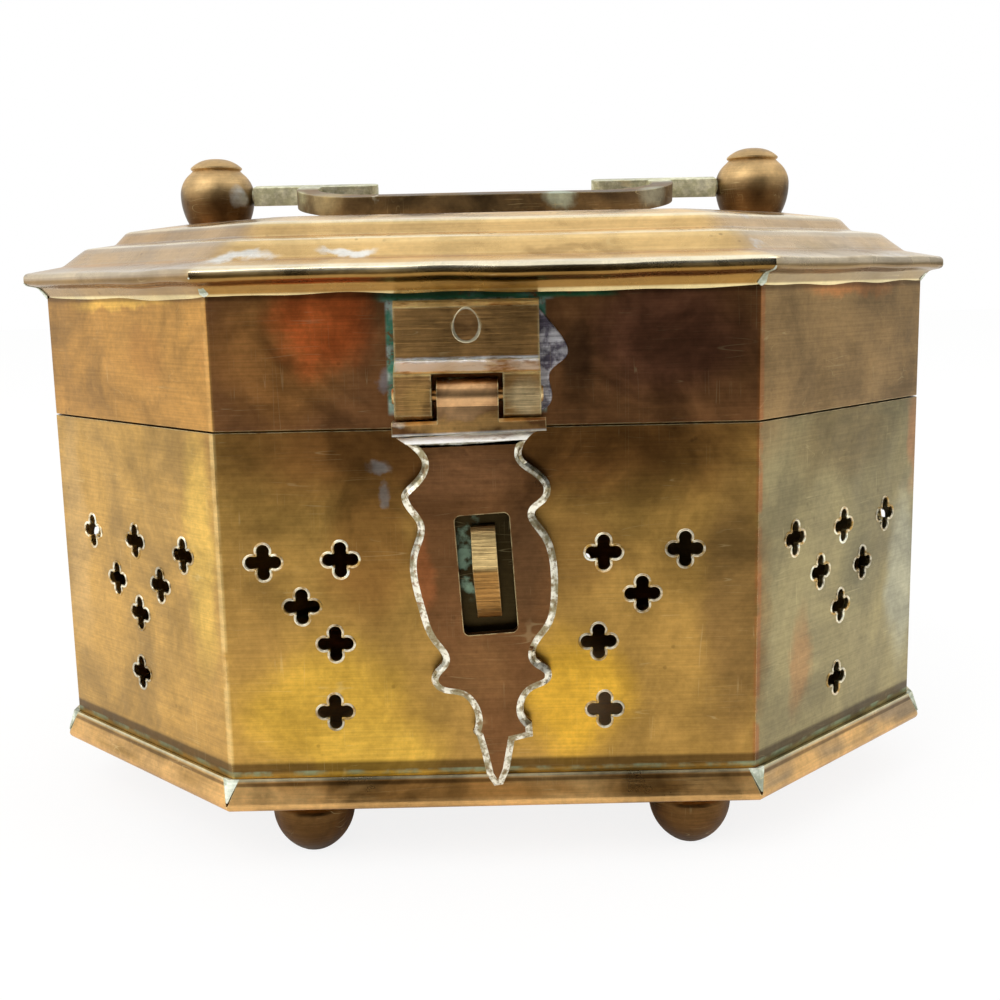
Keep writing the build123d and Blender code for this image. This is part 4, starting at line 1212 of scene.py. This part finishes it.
def floor_material():
    """White paper that the camera sees as nearly white, apart from soft shadows."""
    material, shader = paper("White paper", (0.92, 0.92, 0.91))
    paint = Paint(material.node_tree)
    glow = paint.new("Emission")
    glow.inputs["Color"].default_value = (1, 1, 1, 1)
    seen = paint.new("MixShader")
    paint.feed(seen.inputs[0], paint.times(paint.new("LightPath").outputs["Is Camera Ray"], 0.85))
    paint.feed(seen.inputs[1], shader.outputs[0])
    paint.feed(seen.inputs[2], glow.outputs[0])
    paint.feed(material.node_tree.nodes["Material Output"].inputs["Surface"], seen.outputs[0])
    return material


def card(name, corners, shade):
    """A grey card that only reflections see."""
    material, _ = paper(name, (shade,) * 3)
    sheet = flat_quad(name, corners, material)
    sheet.visible_camera = False
    sheet.visible_shadow = False
    sheet.visible_diffuse = False


def area_light(name, place, size, power):
    """A square soft light aimed at the middle of the box."""
    light = bpy.data.lights.new(name, "AREA")
    light.shape = "RECTANGLE"
    light.size = light.size_y = size
    light.energy = power
    lamp = link(name, light)
    lamp.location = place
    lamp.rotation_euler = (Vector(BOX_MIDDLE) - Vector(place)).to_track_quat("-Z", "Y").to_euler()


def photo_camera(sizes):
    """A camera at the place and turn that the stage's sizes give."""
    level = cos(sizes.pitch)
    forward = Vector((sin(sizes.yaw) * level, cos(sizes.yaw) * level, -sin(sizes.pitch)))
    right = Vector((cos(sizes.yaw), -sin(sizes.yaw), 0.0))
    up = right.cross(forward)
    across = cos(sizes.roll) * right + sin(sizes.roll) * up
    upward = cos(sizes.roll) * up - sin(sizes.roll) * right
    view = bpy.data.cameras.new("Camera")
    view.lens = sizes.lens
    view.sensor_width = 36.0
    view.clip_start = 0.01
    camera = link("Camera", view)
    place = Matrix.Translation((sizes.camera_x, -sizes.camera_distance, sizes.camera_height))
    camera.matrix_world = place @ Matrix((across, upward, -forward)).transposed().to_4x4()
    return camera


class TRINKET_OT_stage(bpy.types.Operator):
    """Set up the camera, the white floor, the soft lights and the cards that the brass reflects"""

    bl_idname = "trinket.stage"
    bl_label = "Stage"

    def execute(self, context):
        scene = context.scene
        scene.camera = photo_camera(scene.stage_sizes)
        half = scene.stage_sizes.floor / 2
        corners = ((-half, -half, 0), (half, -half, 0), (half, half, 0), (-half, half, 0))
        flat_quad("floor", corners, floor_material())
        for name, corners, shade in CARDS:
            card(name, corners, shade)
        for name, place, size, power in LIGHTS:
            area_light(name, place, size, power)
        world = bpy.data.worlds.new("Studio")
        world.use_nodes = True
        background = world.node_tree.nodes["Background"]
        background.inputs["Color"].default_value = (1, 1, 1, 1)
        background.inputs["Strength"].default_value = 1.0
        scene.world = world
        scene.view_settings.view_transform = "Standard"
        return {"FINISHED"}


class TRINKET_PT_panel(bpy.types.Panel):
    """Buttons for each group of pieces"""

    bl_label = "Trinket box"
    bl_idname = "TRINKET_PT_panel"
    bl_space_type = "VIEW_3D"
    bl_region_type = "UI"
    bl_category = "Trinket box"

    def draw(self, context):
        layout = self.layout
        for group in GROUPS:
            settings = getattr(context.scene, group)
            for name in settings.__annotations__:
                layout.prop(settings, name)
        for operator in OPERATORS:
            layout.operator(operator.bl_idname)


OPERATORS = (TRINKET_OT_walls, TRINKET_OT_lid_top, TRINKET_OT_fittings, TRINKET_OT_solder, TRINKET_OT_stage)
GROUPS = {"box_colours": BoxColours, "box_sizes": BoxSizes, "stage_sizes": StageSizes}


def register():
    for kind in (*GROUPS.values(), *OPERATORS, TRINKET_PT_panel):
        bpy.utils.register_class(kind)
    for name, kind in GROUPS.items():
        setattr(bpy.types.Scene, name, bpy.props.PointerProperty(type=kind))


def unregister():
    for name in GROUPS:
        delattr(bpy.types.Scene, name)
    for kind in reversed((*GROUPS.values(), *OPERATORS, TRINKET_PT_panel)):
        bpy.utils.unregister_class(kind)


def main():
    register()
    for operator in OPERATORS:
        family, name = operator.bl_idname.split(".")
        getattr(getattr(bpy.ops, family), name)()


if __name__ == "__main__":
    main()
